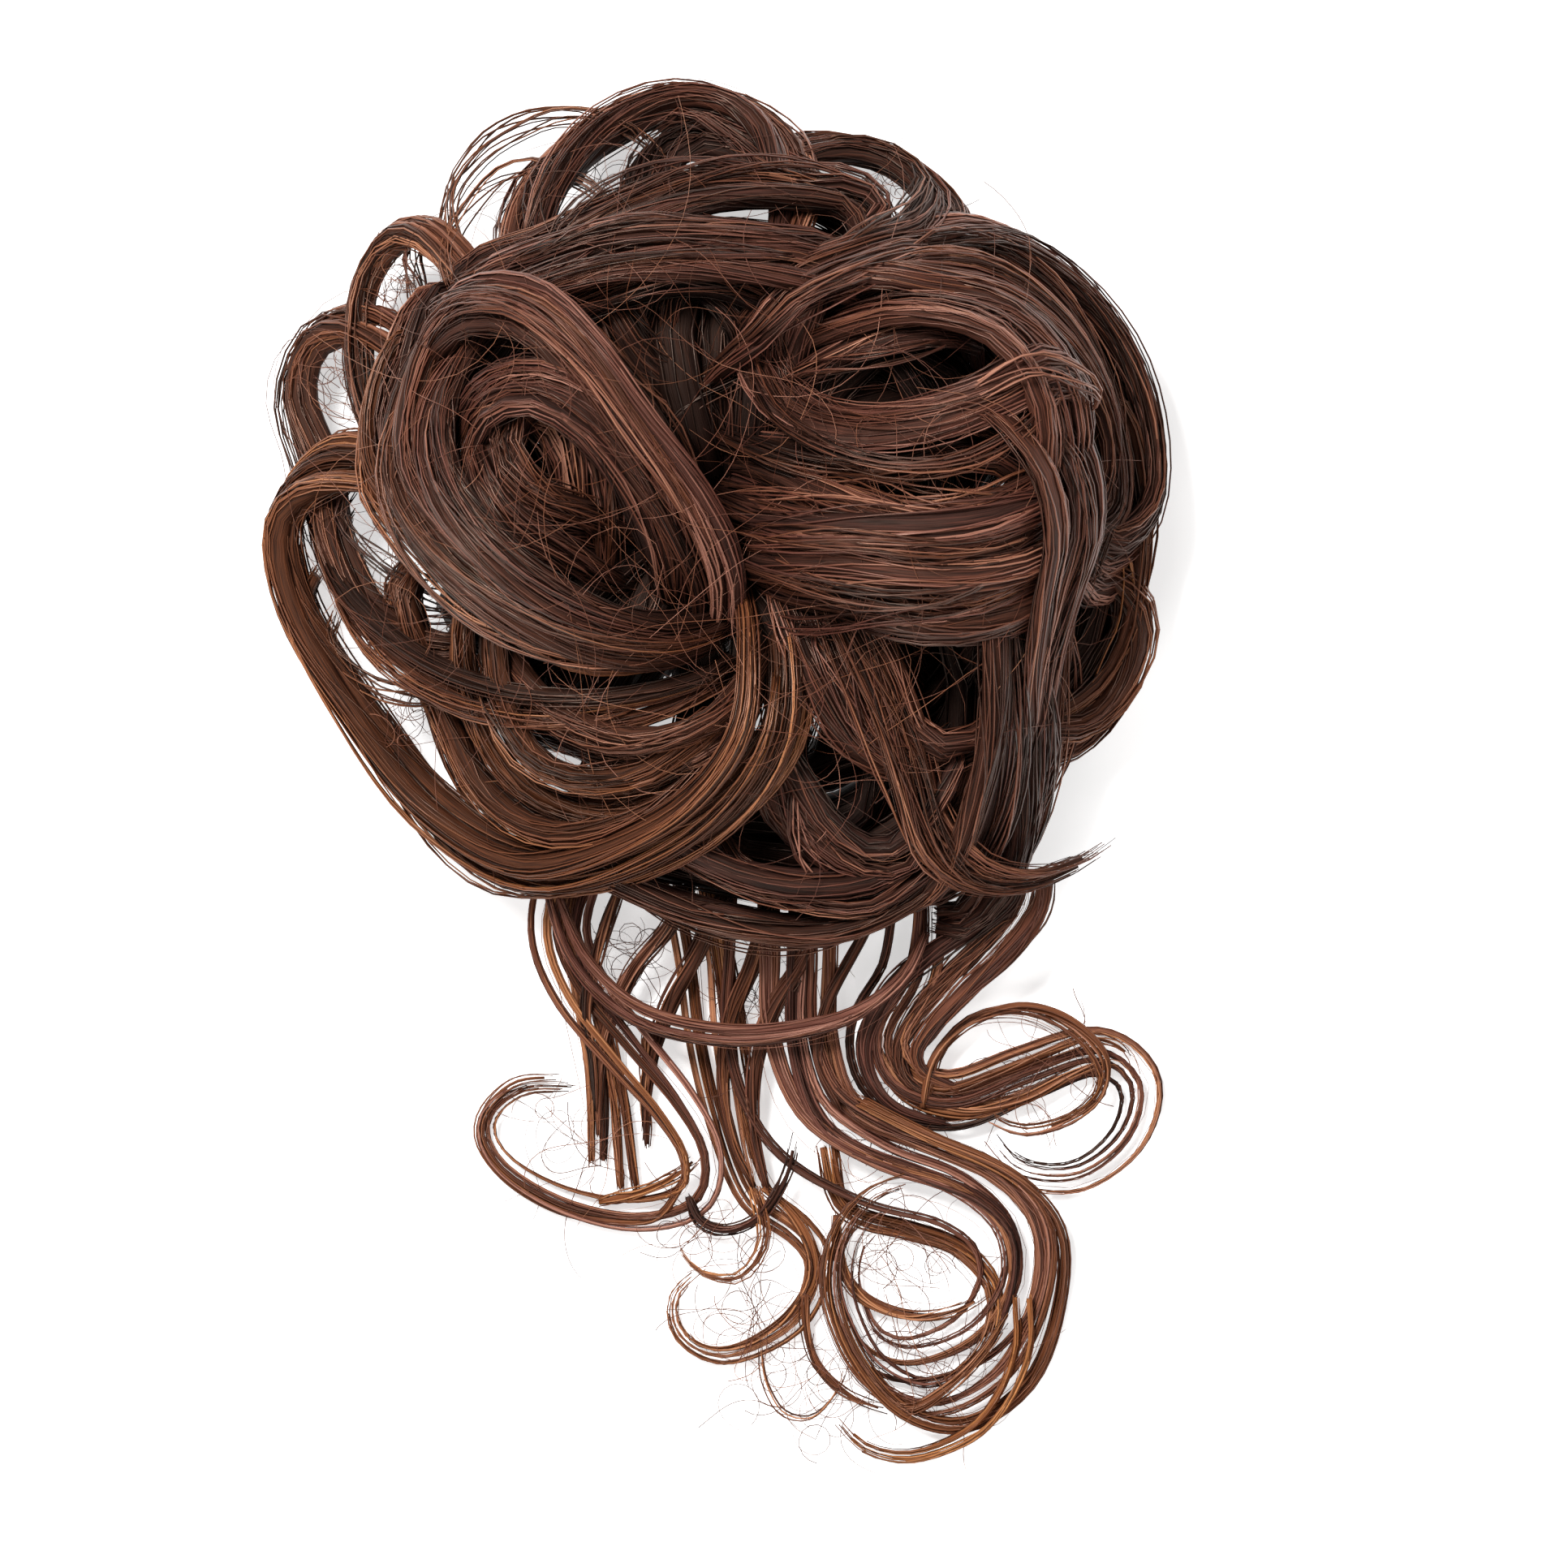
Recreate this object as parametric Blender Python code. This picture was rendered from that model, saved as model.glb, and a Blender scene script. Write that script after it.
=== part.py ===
"""A messy-bun top knot hairpiece lying on a table: a ring of covered elastic, a bun of looped
locks sewn round it, and the curled ends that fall from its lower edge.

Metres, +Z up, +Y from the curls towards the top of the bun. The charts below give each lock's
route in a flat plan seen from above: x and y are shares of the bun's radius from the middle of
the elastic band. The finished model is moved so that its origin is at the middle of the
underside of its box.
"""
import math
from collections import namedtuple

import bmesh
import bpy
from mathutils import Matrix, Vector

# The bun, the fall of curls below it and the band in it
BUN_WIDTH = 0.150
BUN_HEIGHT = 0.060
TAIL_LENGTH = 0.089
BAND_WIDTH = 0.058
BAND_ROD_WIDTH = 0.007
BAND_ROD_HEIGHT = 0.006
KNOT_ROOM_HEIGHT = 0.022

# A full lock's section in the bun, and in the tail
LOCK_WIDTH = 0.013
LOCK_THICKNESS = 0.005
CURL_WIDTH = 0.0065
CURL_THICKNESS = 0.0030

# Clearances between touching pieces, and below hair that lies on the table
SEAM_GAP = 0.0004
TABLE_GAP = 0.0003

# How finely the solids are faceted
LOCK_SIDES = 6
CURL_SIDES = 6
LOCK_STEP = 0.0125
CURL_STEP = 0.0066
BAND_TURNS = 32
CRUMB_VOLUME = 1e-9

BUN_RADIUS = BUN_WIDTH / 2
BAND_RADIUS = (BAND_WIDTH - BAND_ROD_WIDTH) / 2
LAYER_STEP = CURL_THICKNESS + SEAM_GAP

# In the charts' plan, the bun ends at the nape line and the curls reach the tip line
NAPE_Y = -0.92
TIP_Y = -2.11

# The bun's broad locks face away from its heart, at this share of its height
HEART_RISE = 0.25
# How much of its facing a lock keeps from one section to the next, beside the new one
FACING_KEPT = 0.35
# The share of a lock's length over which it opens from its root
ROOT_OPENING = 0.2

# name; section width and thickness as shares of a full lock's; share of the section left at
# the root and at the end; share of the length after which it tapers; route.
Lock = namedtuple("Lock", "name broad thick root end taper route")
# A point of a route. In the bun, rise is a share of the bun's height.
# In the tail it counts layers of curls above the table.
At = namedtuple("At", "x y rise")


def route(*points):
    return [At(*point) for point in points]


BUN_LOCKS = [
    Lock("rim_sweep", 1.0, 1.1, 0.6, 0.6, 0.8, route(
        (-0.62, 0.10, 0.44), (-0.86, 0.08, 0.28), (-0.955, -0.06, 0.20), (-0.80, -0.37, 0.18),
        (-0.60, -0.66, 0.20), (-0.35, -0.79, 0.34), (-0.05, -0.70, 0.56), (0.13, -0.52, 0.72),
        (0.14, -0.30, 0.72), (0.06, -0.14, 0.50))),
    Lock("rim_inner", 1.0, 1.0, 0.7, 0.7, 0.8, route(
        (-0.68, -0.20, 0.36), (-0.60, -0.42, 0.30), (-0.49, -0.62, 0.30), (-0.32, -0.72, 0.40),
        (-0.12, -0.68, 0.50), (0.02, -0.56, 0.54))),
    Lock("cross_lock", 0.8, 0.8, 0.5, 0.6, 0.8, route(
        (-0.88, -0.06, 0.32), (-0.78, -0.22, 0.38), (-0.62, -0.35, 0.50), (-0.42, -0.43, 0.62),
        (-0.20, -0.44, 0.68), (0.00, -0.38, 0.62))),
    Lock("edge_loop_mid", 0.8, 1.0, 0.6, 0.6, 0.8, route(
        (-0.58, 0.28, 0.40), (-0.74, 0.39, 0.26), (-0.87, 0.37, 0.17), (-0.91, 0.25, 0.15),
        (-0.86, 0.10, 0.19), (-0.83, -0.08, 0.26), (-0.74, -0.24, 0.32), (-0.60, -0.30, 0.42))),
    Lock("edge_loop_high", 0.9, 0.9, 0.6, 0.6, 0.8, route(
        (-0.46, 0.42, 0.46), (-0.59, 0.57, 0.36), (-0.69, 0.59, 0.26), (-0.76, 0.49, 0.22),
        (-0.775, 0.34, 0.25), (-0.75, 0.18, 0.32), (-0.69, 0.04, 0.44), (-0.58, -0.08, 0.56))),
    Lock("edge_filler", 1.0, 0.8, 0.6, 0.6, 0.8, route(
        (-0.62, 0.46, 0.40), (-0.67, 0.34, 0.44), (-0.69, 0.18, 0.46), (-0.64, 0.04, 0.52),
        (-0.50, -0.06, 0.60))),
    Lock("swirl_outer", 1.1, 1.0, 0.5, 0.5, 0.75, route(
        (-0.56, 0.42, 0.52), (-0.64, 0.26, 0.60), (-0.66, 0.08, 0.70), (-0.58, -0.07, 0.78),
        (-0.44, -0.20, 0.84), (-0.28, -0.29, 0.84), (-0.12, -0.32, 0.76), (0.01, -0.28, 0.60))),
    Lock("swirl_mid", 1.0, 1.0, 0.5, 0.5, 0.75, route(
        (-0.50, 0.36, 0.62), (-0.58, 0.20, 0.74), (-0.55, 0.04, 0.84), (-0.43, -0.10, 0.90),
        (-0.28, -0.21, 0.88), (-0.13, -0.25, 0.76), (-0.02, -0.22, 0.58))),
    Lock("swirl_inner", 0.8, 0.8, 0.5, 0.5, 0.75, route(
        (-0.44, 0.20, 0.64), (-0.49, 0.09, 0.76), (-0.41, -0.03, 0.82), (-0.28, -0.12, 0.78),
        (-0.15, -0.17, 0.66))),
    Lock("brow_outer", 1.0, 0.9, 0.4, 0.5, 0.75, route(
        (-0.60, 0.33, 0.56), (-0.52, 0.42, 0.72), (-0.39, 0.41, 0.86), (-0.27, 0.30, 0.93),
        (-0.16, 0.15, 0.93), (-0.06, -0.01, 0.86), (0.00, -0.16, 0.72), (0.00, -0.28, 0.54))),
    Lock("brow_inner", 1.0, 0.9, 0.5, 0.5, 0.75, route(
        (-0.54, 0.13, 0.66), (-0.49, 0.24, 0.80), (-0.37, 0.27, 0.88), (-0.25, 0.21, 0.90),
        (-0.16, 0.08, 0.86), (-0.10, -0.07, 0.76), (-0.08, -0.20, 0.60))),
    Lock("eye_curl", 1.3, 1.0, 0.6, 0.6, 0.8, route(
        (-0.46, 0.14, 0.56), (-0.38, 0.19, 0.68), (-0.29, 0.12, 0.74), (-0.25, -0.01, 0.70),
        (-0.22, -0.12, 0.58))),
    Lock("top_arch", 0.9, 1.0, 0.6, 0.5, 0.8, route(
        (-0.42, 0.50, 0.50), (-0.39, 0.66, 0.38), (-0.28, 0.80, 0.26), (-0.12, 0.885, 0.20),
        (0.03, 0.875, 0.20), (0.14, 0.79, 0.28), (0.18, 0.66, 0.44), (0.14, 0.50, 0.58))),
    Lock("arch_inside", 0.8, 0.9, 0.6, 0.6, 0.8, route(
        (-0.13, 0.56, 0.44), (-0.14, 0.70, 0.34), (-0.06, 0.79, 0.28), (0.06, 0.77, 0.30),
        (0.16, 0.66, 0.40))),
    Lock("second_arch", 0.9, 1.0, 0.5, 0.5, 0.8, route(
        (0.10, 0.74, 0.32), (0.24, 0.785, 0.22), (0.38, 0.755, 0.20), (0.485, 0.66, 0.28),
        (0.46, 0.57, 0.46), (0.34, 0.52, 0.64), (0.19, 0.46, 0.70), (0.06, 0.34, 0.58))),
    Lock("upright_lock", 0.8, 0.9, 0.6, 0.6, 0.8, route(
        (-0.35, 0.74, 0.28), (-0.40, 0.64, 0.36), (-0.40, 0.52, 0.46), (-0.33, 0.42, 0.54))),
    Lock("upper_band", 1.0, 0.9, 0.5, 0.5, 0.8, route(
        (-0.54, 0.49, 0.52), (-0.38, 0.54, 0.60), (-0.20, 0.62, 0.62), (-0.02, 0.68, 0.58),
        (0.15, 0.69, 0.52), (0.29, 0.66, 0.46), (0.34, 0.58, 0.50))),
    Lock("middle_band", 1.1, 0.9, 0.5, 0.5, 0.8, route(
        (-0.56, 0.44, 0.54), (-0.40, 0.47, 0.68), (-0.20, 0.52, 0.74), (0.00, 0.54, 0.74),
        (0.18, 0.53, 0.70), (0.30, 0.48, 0.60))),
    Lock("lower_band", 0.9, 0.9, 0.5, 0.5, 0.8, route(
        (-0.34, 0.38, 0.58), (-0.20, 0.43, 0.68), (-0.02, 0.45, 0.68), (0.14, 0.40, 0.60),
        (0.20, 0.28, 0.48))),
    Lock("right_arch_outer", 1.1, 1.0, 0.5, 0.5, 0.8, route(
        (0.18, 0.44, 0.60), (0.40, 0.56, 0.54), (0.60, 0.585, 0.38), (0.77, 0.49, 0.28),
        (0.89, 0.33, 0.22), (0.945, 0.13, 0.21), (0.93, -0.03, 0.26), (0.84, -0.12, 0.38),
        (0.74, -0.06, 0.54))),
    Lock("right_arch_middle", 1.2, 1.0, 0.5, 0.5, 0.8, route(
        (0.16, 0.40, 0.64), (0.38, 0.49, 0.70), (0.58, 0.48, 0.62), (0.73, 0.38, 0.54),
        (0.83, 0.22, 0.48), (0.85, 0.06, 0.46), (0.80, -0.05, 0.50), (0.70, -0.08, 0.58))),
    Lock("right_arch_inner", 1.1, 1.0, 0.5, 0.5, 0.8, route(
        (0.20, 0.36, 0.56), (0.42, 0.43, 0.70), (0.60, 0.40, 0.76), (0.71, 0.29, 0.78),
        (0.75, 0.15, 0.76), (0.72, 0.02, 0.70), (0.62, -0.06, 0.62))),
    Lock("bowl_lock", 0.9, 0.8, 0.5, 0.4, 0.8, route(
        (0.18, 0.44, 0.66), (0.13, 0.32, 0.62), (0.18, 0.21, 0.68), (0.31, 0.165, 0.78),
        (0.46, 0.18, 0.86), (0.60, 0.23, 0.88), (0.71, 0.28, 0.82), (0.79, 0.24, 0.70))),
    Lock("bowl_underlock", 1.0, 0.8, 0.5, 0.5, 0.8, route(
        (0.02, 0.17, 0.50), (0.17, 0.13, 0.66), (0.34, 0.10, 0.74), (0.52, 0.12, 0.80),
        (0.64, 0.05, 0.78), (0.70, -0.06, 0.68))),
    Lock("stripe_lock", 0.9, 0.8, 0.5, 0.5, 0.8, route(
        (0.12, 0.24, 0.52), (0.25, 0.32, 0.64), (0.40, 0.37, 0.68), (0.54, 0.36, 0.64))),
    Lock("roll_top", 1.0, 0.9, 0.5, 0.5, 0.8, route(
        (0.04, 0.05, 0.54), (0.16, 0.01, 0.70), (0.32, -0.045, 0.84), (0.48, -0.06, 0.90),
        (0.62, -0.03, 0.86), (0.74, 0.04, 0.74))),
    Lock("roll_middle", 1.1, 1.0, 0.5, 0.5, 0.8, route(
        (0.03, -0.06, 0.56), (0.12, -0.105, 0.74), (0.28, -0.12, 0.88), (0.46, -0.135, 0.93),
        (0.62, -0.11, 0.88), (0.75, -0.04, 0.74))),
    Lock("roll_low", 1.1, 1.0, 0.5, 0.5, 0.8, route(
        (0.04, -0.11, 0.50), (0.14, -0.155, 0.66), (0.30, -0.175, 0.80), (0.48, -0.21, 0.86),
        (0.62, -0.19, 0.82), (0.74, -0.13, 0.70))),
    Lock("fall_inner", 1.2, 0.9, 0.6, 0.6, 0.8, route(
        (0.60, -0.10, 0.66), (0.64, -0.26, 0.70), (0.65, -0.44, 0.62), (0.62, -0.62, 0.48),
        (0.56, -0.77, 0.36), (0.46, -0.86, 0.28))),
    Lock("fall_outer", 1.2, 1.0, 0.6, 0.6, 0.8, route(
        (0.68, -0.06, 0.60), (0.71, -0.24, 0.54), (0.70, -0.44, 0.42), (0.69, -0.62, 0.30),
        (0.65, -0.77, 0.22), (0.56, -0.90, 0.20))),
    Lock("side_loop", 1.0, 1.0, 0.6, 0.6, 0.8, route(
        (0.70, 0.00, 0.40), (0.86, -0.10, 0.24), (0.925, -0.24, 0.18), (0.88, -0.40, 0.18),
        (0.78, -0.49, 0.24), (0.64, -0.48, 0.34))),
    Lock("centre_drop", 0.9, 0.9, 0.6, 0.6, 0.8, route(
        (0.18, -0.18, 0.54), (0.26, -0.36, 0.62), (0.34, -0.50, 0.58), (0.46, -0.56, 0.52),
        (0.60, -0.50, 0.50))),
    Lock("flick_lock", 0.7, 0.7, 0.6, 0.12, 0.55, route(
        (0.25, -0.17, 0.66), (0.36, -0.36, 0.64), (0.42, -0.54, 0.60), (0.47, -0.70, 0.54),
        (0.56, -0.79, 0.46), (0.68, -0.815, 0.38), (0.80, -0.78, 0.30), (0.90, -0.715, 0.24))),
    Lock("low_bowl", 0.9, 0.9, 0.6, 0.6, 0.8, route(
        (0.15, -0.54, 0.52), (0.22, -0.68, 0.50), (0.33, -0.76, 0.46), (0.45, -0.72, 0.46),
        (0.54, -0.58, 0.46))),
    Lock("front_bowl_high", 1.0, 0.9, 0.6, 0.6, 0.8, route(
        (-0.14, -0.70, 0.40), (0.03, -0.79, 0.42), (0.20, -0.83, 0.42), (0.37, -0.80, 0.40),
        (0.50, -0.68, 0.40))),
    Lock("front_bowl", 1.1, 0.9, 0.5, 0.6, 0.8, route(
        (-0.32, -0.76, 0.30), (-0.13, -0.855, 0.31), (0.06, -0.91, 0.32), (0.25, -0.92, 0.32),
        (0.42, -0.85, 0.32), (0.54, -0.74, 0.34))),
    Lock("lower_roll", 1.3, 1.0, 0.6, 0.6, 0.8, route(
        (-0.44, -0.28, 0.50), (-0.34, -0.40, 0.60), (-0.18, -0.45, 0.68), (-0.02, -0.42, 0.70),
        (0.10, -0.32, 0.60))),
    Lock("orange_curl", 1.1, 0.9, 0.6, 0.6, 0.8, route(
        (-0.49, -0.20, 0.54), (-0.50, -0.38, 0.54), (-0.43, -0.54, 0.52), (-0.30, -0.62, 0.54),
        (-0.14, -0.61, 0.58), (0.00, -0.52, 0.62), (0.08, -0.40, 0.60))),
]

TAIL_GROUPS = {
    "tail_lower_curl": [
        Lock("main_fall", 1.7, 1.1, 0.7, 0.25, 0.35, route(
            (0.08, -0.50, 6.2), (0.11, -0.64, 3.8), (0.13, -0.80, 2.4), (0.13, -0.98, 1.9),
            (0.13, -1.16, 1.2), (0.20, -1.34, 1.2), (0.36, -1.445, 1.2), (0.53, -1.50, 1.2),
            (0.64, -1.59, 0.9), (0.66, -1.72, 0.5), (0.58, -1.84, 0.1), (0.44, -1.895, 0.0),
            (0.34, -1.86, 0.0), (0.305, -1.78, 0.0))),
        Lock("main_fall_outer", 1.3, 1.1, 0.8, 0.25, 0.35, route(
            (0.19, -0.62, 3.2), (0.225, -0.80, 2.3), (0.225, -0.98, 1.9), (0.23, -1.18, 1.2),
            (0.29, -1.34, 1.2), (0.46, -1.42, 1.2), (0.62, -1.49, 1.2), (0.71, -1.60, 0.9),
            (0.70, -1.76, 0.5), (0.62, -1.91, 0.0), (0.48, -1.98, 0.0), (0.35, -1.92, 0.8),
            (0.29, -1.80, 0.9))),
        Lock("outer_loop", 0.5, 0.9, 1.0, 0.4, 0.4, route(
            (0.30, -1.30, 1.9), (0.47, -1.39, 1.9), (0.66, -1.48, 1.6), (0.765, -1.60, 0.8),
            (0.765, -1.77, 0.0), (0.70, -1.94, 0.0), (0.56, -2.035, 0.0), (0.42, -2.00, 0.6),
            (0.31, -1.87, 1.3), (0.275, -1.71, 1.0), (0.31, -1.58, 1.0))),
        Lock("orange_loop", 0.55, 0.8, 1.0, 0.4, 0.4, route(
            (0.26, -1.40, 0.7), (0.30, -1.54, 0.3), (0.43, -1.59, 0.1), (0.55, -1.64, 0.1),
            (0.62, -1.74, 0.2), (0.59, -1.86, 0.9), (0.49, -1.95, 0.9))),
        Lock("bottom_wisp", 0.3, 0.7, 1.0, 0.6, 0.4, route(
            (0.68, -1.74, 1.2), (0.68, -1.88, 0.8), (0.60, -2.03, 0.9), (0.46, -2.105, 0.0),
            (0.34, -2.09, 0.0), (0.26, -2.01, 0.0))),
    ],
    "tail_right_curl": [
        Lock("right_fall", 1.3, 1.1, 0.9, 0.35, 0.30, route(
            (0.33, -0.49, 6.2), (0.40, -0.64, 3.8), (0.46, -0.82, 2.4), (0.45, -1.02, 1.7),
            (0.38, -1.16, 1.1), (0.41, -1.26, 0.7), (0.53, -1.30, 0.4), (0.69, -1.245, 0.2),
            (0.85, -1.20, 0.0), (0.945, -1.27, 0.0), (0.92, -1.39, 0.0), (0.81, -1.475, 0.0),
            (0.68, -1.465, 0.0), (0.60, -1.38, 0.0))),
        Lock("right_second", 0.6, 0.9, 0.8, 0.6, 0.5, route(
            (0.39, -1.20, 0.4), (0.48, -1.33, 0.0), (0.61, -1.33, 0.0), (0.75, -1.27, 0.2),
            (0.88, -1.225, 0.3))),
        Lock("right_circle", 0.35, 0.7, 1.0, 0.7, 0.4, route(
            (0.47, -1.30, 1.0), (0.50, -1.20, 1.0), (0.58, -1.125, 0.9), (0.70, -1.115, 0.9),
            (0.81, -1.175, 1.1), (0.86, -1.27, 0.9), (0.80, -1.345, 0.5), (0.69, -1.375, 0.5),
            (0.61, -1.345, 0.9))),
    ],
    "tail_centre_curl": [
        Lock("brown_fall", 1.0, 0.9, 0.9, 0.25, 0.25, route(
            (-0.05, -0.49, 6.0), (-0.06, -0.64, 3.6), (-0.06, -0.80, 2.0), (-0.03, -1.00, 1.0),
            (-0.01, -1.18, 0.1), (0.03, -1.36, 0.0), (0.09, -1.52, 0.1), (0.19, -1.60, 0.1),
            (0.235, -1.68, 0.0), (0.18, -1.81, 0.0), (0.03, -1.885, 0.0), (-0.075, -1.84, 0.0),
            (-0.09, -1.75, 0.0), (-0.02, -1.68, 0.3))),
        Lock("dark_fall", 0.7, 0.8, 0.9, 0.4, 0.3, route(
            (-0.02, -0.66, 1.6), (0.00, -0.90, 0.8), (0.03, -1.10, 0.2), (0.055, -1.25, 0.2),
            (0.075, -1.40, 0.3), (0.10, -1.53, 0.8))),
        Lock("small_circle", 0.35, 0.7, 1.0, 0.6, 0.3, route(
            (0.09, -1.50, 1.2), (0.115, -1.62, 0.9), (0.06, -1.71, 0.6), (-0.03, -1.70, 0.7),
            (-0.08, -1.64, 0.2))),
    ],
    "tail_left_curl": [
        Lock("left_lock", 1.3, 1.1, 0.8, 0.25, 0.20, route(
            (-0.18, -0.47, 6.2), (-0.24, -0.61, 3.9), (-0.30, -0.76, 2.4), (-0.345, -0.92, 1.8),
            (-0.30, -1.06, 1.4), (-0.19, -1.20, 1.5), (-0.09, -1.32, 1.5), (-0.03, -1.43, 1.4),
            (-0.05, -1.53, 0.6), (-0.18, -1.565, 0.0), (-0.34, -1.53, 0.0), (-0.47, -1.45, 0.0),
            (-0.505, -1.36, 0.0), (-0.43, -1.29, 0.0), (-0.31, -1.285, 0.0))),
        Lock("straight_outer", 0.6, 0.9, 0.9, 0.4, 0.5, route(
            (-0.26, -0.68, 2.7), (-0.335, -0.90, 1.5), (-0.30, -1.06, 0.9), (-0.265, -1.26, 0.1),
            (-0.256, -1.46, 0.0))),
        Lock("straight_inner", 0.7, 0.9, 0.9, 0.4, 0.5, route(
            (-0.25, -0.70, 2.7), (-0.32, -0.90, 1.6), (-0.26, -1.08, 1.0), (-0.21, -1.28, 0.1),
            (-0.187, -1.52, 0.0))),
    ],
    "neck_wrap": [
        Lock("neck_wrap", 0.8, 0.9, 0.6, 0.6, 0.7, route(
            (-0.36, -0.82, 4.0), (-0.29, -0.99, 3.4), (-0.16, -1.11, 3.0), (0.03, -1.155, 3.0),
            (0.20, -1.14, 3.0), (0.33, -1.07, 3.2), (0.42, -0.94, 3.6))),
    ],
}

# The hair sewn to the band: short loops side by side round it, all alike
ROOT_LOOPS = 13
ROOT_LOOP = Lock("root_loop", 1.35, 1.3, 0.8, 0.8, 0.8, None)
# out: a share of the way from the band to the bun's edge, or to the middle where it is negative
# turn: degrees round the band; rise: a share of the way from the band's top to the bun's top
RootAt = namedtuple("RootAt", "out turn rise")
ROOT_FOOT = [RootAt(0.08, 0, 0.02), RootAt(0.30, 4, 0.05)]
ROOT_ARCH = [
    RootAt(0.40, 10, 0.20), RootAt(0.30, 18, 0.40), RootAt(0.06, 24, 0.51),
    RootAt(-0.41, 26, 0.49), RootAt(-0.82, 26, 0.42)]
# Where the roots of the tail run in, counted round from +X in degrees, a loop has no foot
TAIL_ROOTS = (236, 312)


def clear_scene():
    for thing in list(bpy.data.objects):
        bpy.data.objects.remove(thing)


def smooth_line(points, step):
    """Points about a step apart on a Catmull-Rom curve through the given ones."""
    ends = [2 * points[0] - points[1], *points, 2 * points[-1] - points[-2]]
    fine = []
    parts = 12
    for a, b, c, d in zip(ends, ends[1:], ends[2:], ends[3:]):
        for i in range(parts):
            t = i / parts
            fine.append(0.5 * (2 * b + (c - a) * t + (2 * a - 5 * b + 4 * c - d) * t**2
                               + (3 * b - a - 3 * c + d) * t**3))
    fine.append(points[-1])
    runs = [0.0]
    for a, b in zip(fine, fine[1:]):
        runs.append(runs[-1] + (b - a).length)
    count = max(3, round(runs[-1] / step))
    line = []
    k = 0
    for i in range(count + 1):
        want = runs[-1] * i / count
        while k < len(runs) - 2 and runs[k + 1] < want:
            k += 1
        span = runs[k + 1] - runs[k]
        line.append(fine[k].lerp(fine[k + 1], min(1.0, (want - runs[k]) / span)))
    return line


def section_share(lock, t):
    """How much of the full section is left at t, from 0 at the root to 1 at the end."""
    share = 1.0
    if t < ROOT_OPENING:
        share = lock.root + (1 - lock.root) * math.sin(math.pi / 2 * t / ROOT_OPENING)
    if t > lock.taper:
        share *= 1 + (lock.end - 1) * (t - lock.taper) / (1 - lock.taper)
    return share


def lock_mesh(name, lock, line, facing, width, thickness, sides, grow=0.0):
    """A flattened tube along a line. facing(point) is the way its broad side looks."""
    bm = bmesh.new()
    rings = []
    normal = facing(line[0])
    for i, point in enumerate(line):
        ahead = line[min(i + 1, len(line) - 1)] - line[max(i - 1, 0)]
        along = ahead.normalized()
        wanted = facing(point)
        steer = wanted - along * wanted.dot(along)
        carried = (normal - along * normal.dot(along)).normalized()
        normal = (carried * FACING_KEPT + steer).normalized()
        across = along.cross(normal)
        share = section_share(lock, i / (len(line) - 1))
        half_width = width * lock.broad * share / 2 + grow
        half_thickness = thickness * lock.thick * math.sqrt(share) / 2 + grow
        if i in (0, len(line) - 1):
            point = point + along * (grow if i else -grow)
        ring = []
        for k in range(sides):
            angle = 2 * math.pi * (k + 0.5) / sides
            ring.append(bm.verts.new(point + across * (half_width * math.cos(angle))
                                     + normal * (half_thickness * math.sin(angle))))
        rings.append(ring)
    for near, far in zip(rings, rings[1:]):
        for k in range(sides):
            m = (k + 1) % sides
            bm.faces.new((near[k], near[m], far[m], far[k]))
    bm.faces.new(rings[0][::-1])
    bm.faces.new(rings[-1])
    bmesh.ops.recalc_face_normals(bm, faces=bm.faces)
    mesh = bpy.data.meshes.new(name)
    bm.to_mesh(mesh)
    bm.free()
    return mesh


def plan_point(x, y):
    """Metres from the charts' shares. Below the nape line, y follows the tail's length."""
    across = x * BUN_RADIUS
    if y >= NAPE_Y:
        return across, y * BUN_RADIUS
    return across, NAPE_Y * BUN_RADIUS + (y - NAPE_Y) / (NAPE_Y - TIP_Y) * TAIL_LENGTH


def bun_line(lock):
    points = [Vector((*plan_point(at.x, at.y), at.rise * BUN_HEIGHT)) for at in lock.route]
    return smooth_line(points, LOCK_STEP)


def curl_line(lock):
    half = CURL_THICKNESS * lock.thick / 2
    points = []
    for at in lock.route:
        points.append(Vector((*plan_point(at.x, at.y), TABLE_GAP + half + at.rise * LAYER_STEP)))
    return smooth_line(points, CURL_STEP)


def root_line(turn):
    over_tail = TAIL_ROOTS[0] < turn < TAIL_ROOTS[1]
    points = []
    for at in ROOT_ARCH if over_tail else ROOT_FOOT + ROOT_ARCH:
        angle = math.radians(turn + at.turn)
        reach = BUN_RADIUS - BAND_RADIUS if at.out > 0 else BAND_RADIUS
        radius = BAND_RADIUS + at.out * reach
        points.append(Vector((radius * math.cos(angle), radius * math.sin(angle),
                              BAND_ROD_HEIGHT + at.rise * (BUN_HEIGHT - BAND_ROD_HEIGHT))))
    return smooth_line(points, LOCK_STEP)


def out_of_bun(point):
    """Away from the heart of the bun, so that a lock's broad side follows its outside."""
    heart = Vector((0, 0, BUN_HEIGHT * HEART_RISE))
    return (point - heart).normalized()


def upwards(_point):
    return Vector((0, 0, 1))


def material(name, colour, roughness):
    made = bpy.data.materials.new(name)
    made.use_nodes = True
    shader = made.node_tree.nodes["Principled BSDF"]
    shader.inputs["Base Color"].default_value = (*colour, 1)
    shader.inputs["Roughness"].default_value = roughness
    shader.inputs["Metallic"].default_value = 0
    return made


def add_object(name, mesh, finish=None, helper_in=None):
    thing = bpy.data.objects.new(name, mesh)
    if finish:
        mesh.materials.append(finish)
    if helper_in:
        helper_in.objects.link(thing)
        thing.hide_render = True
        thing.display_type = "WIRE"
    else:
        bpy.context.scene.collection.objects.link(thing)
    return thing


def helper_collection(name):
    made = bpy.data.collections.new(name)
    bpy.context.scene.collection.children.link(made)
    made.hide_render = True
    return made


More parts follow.
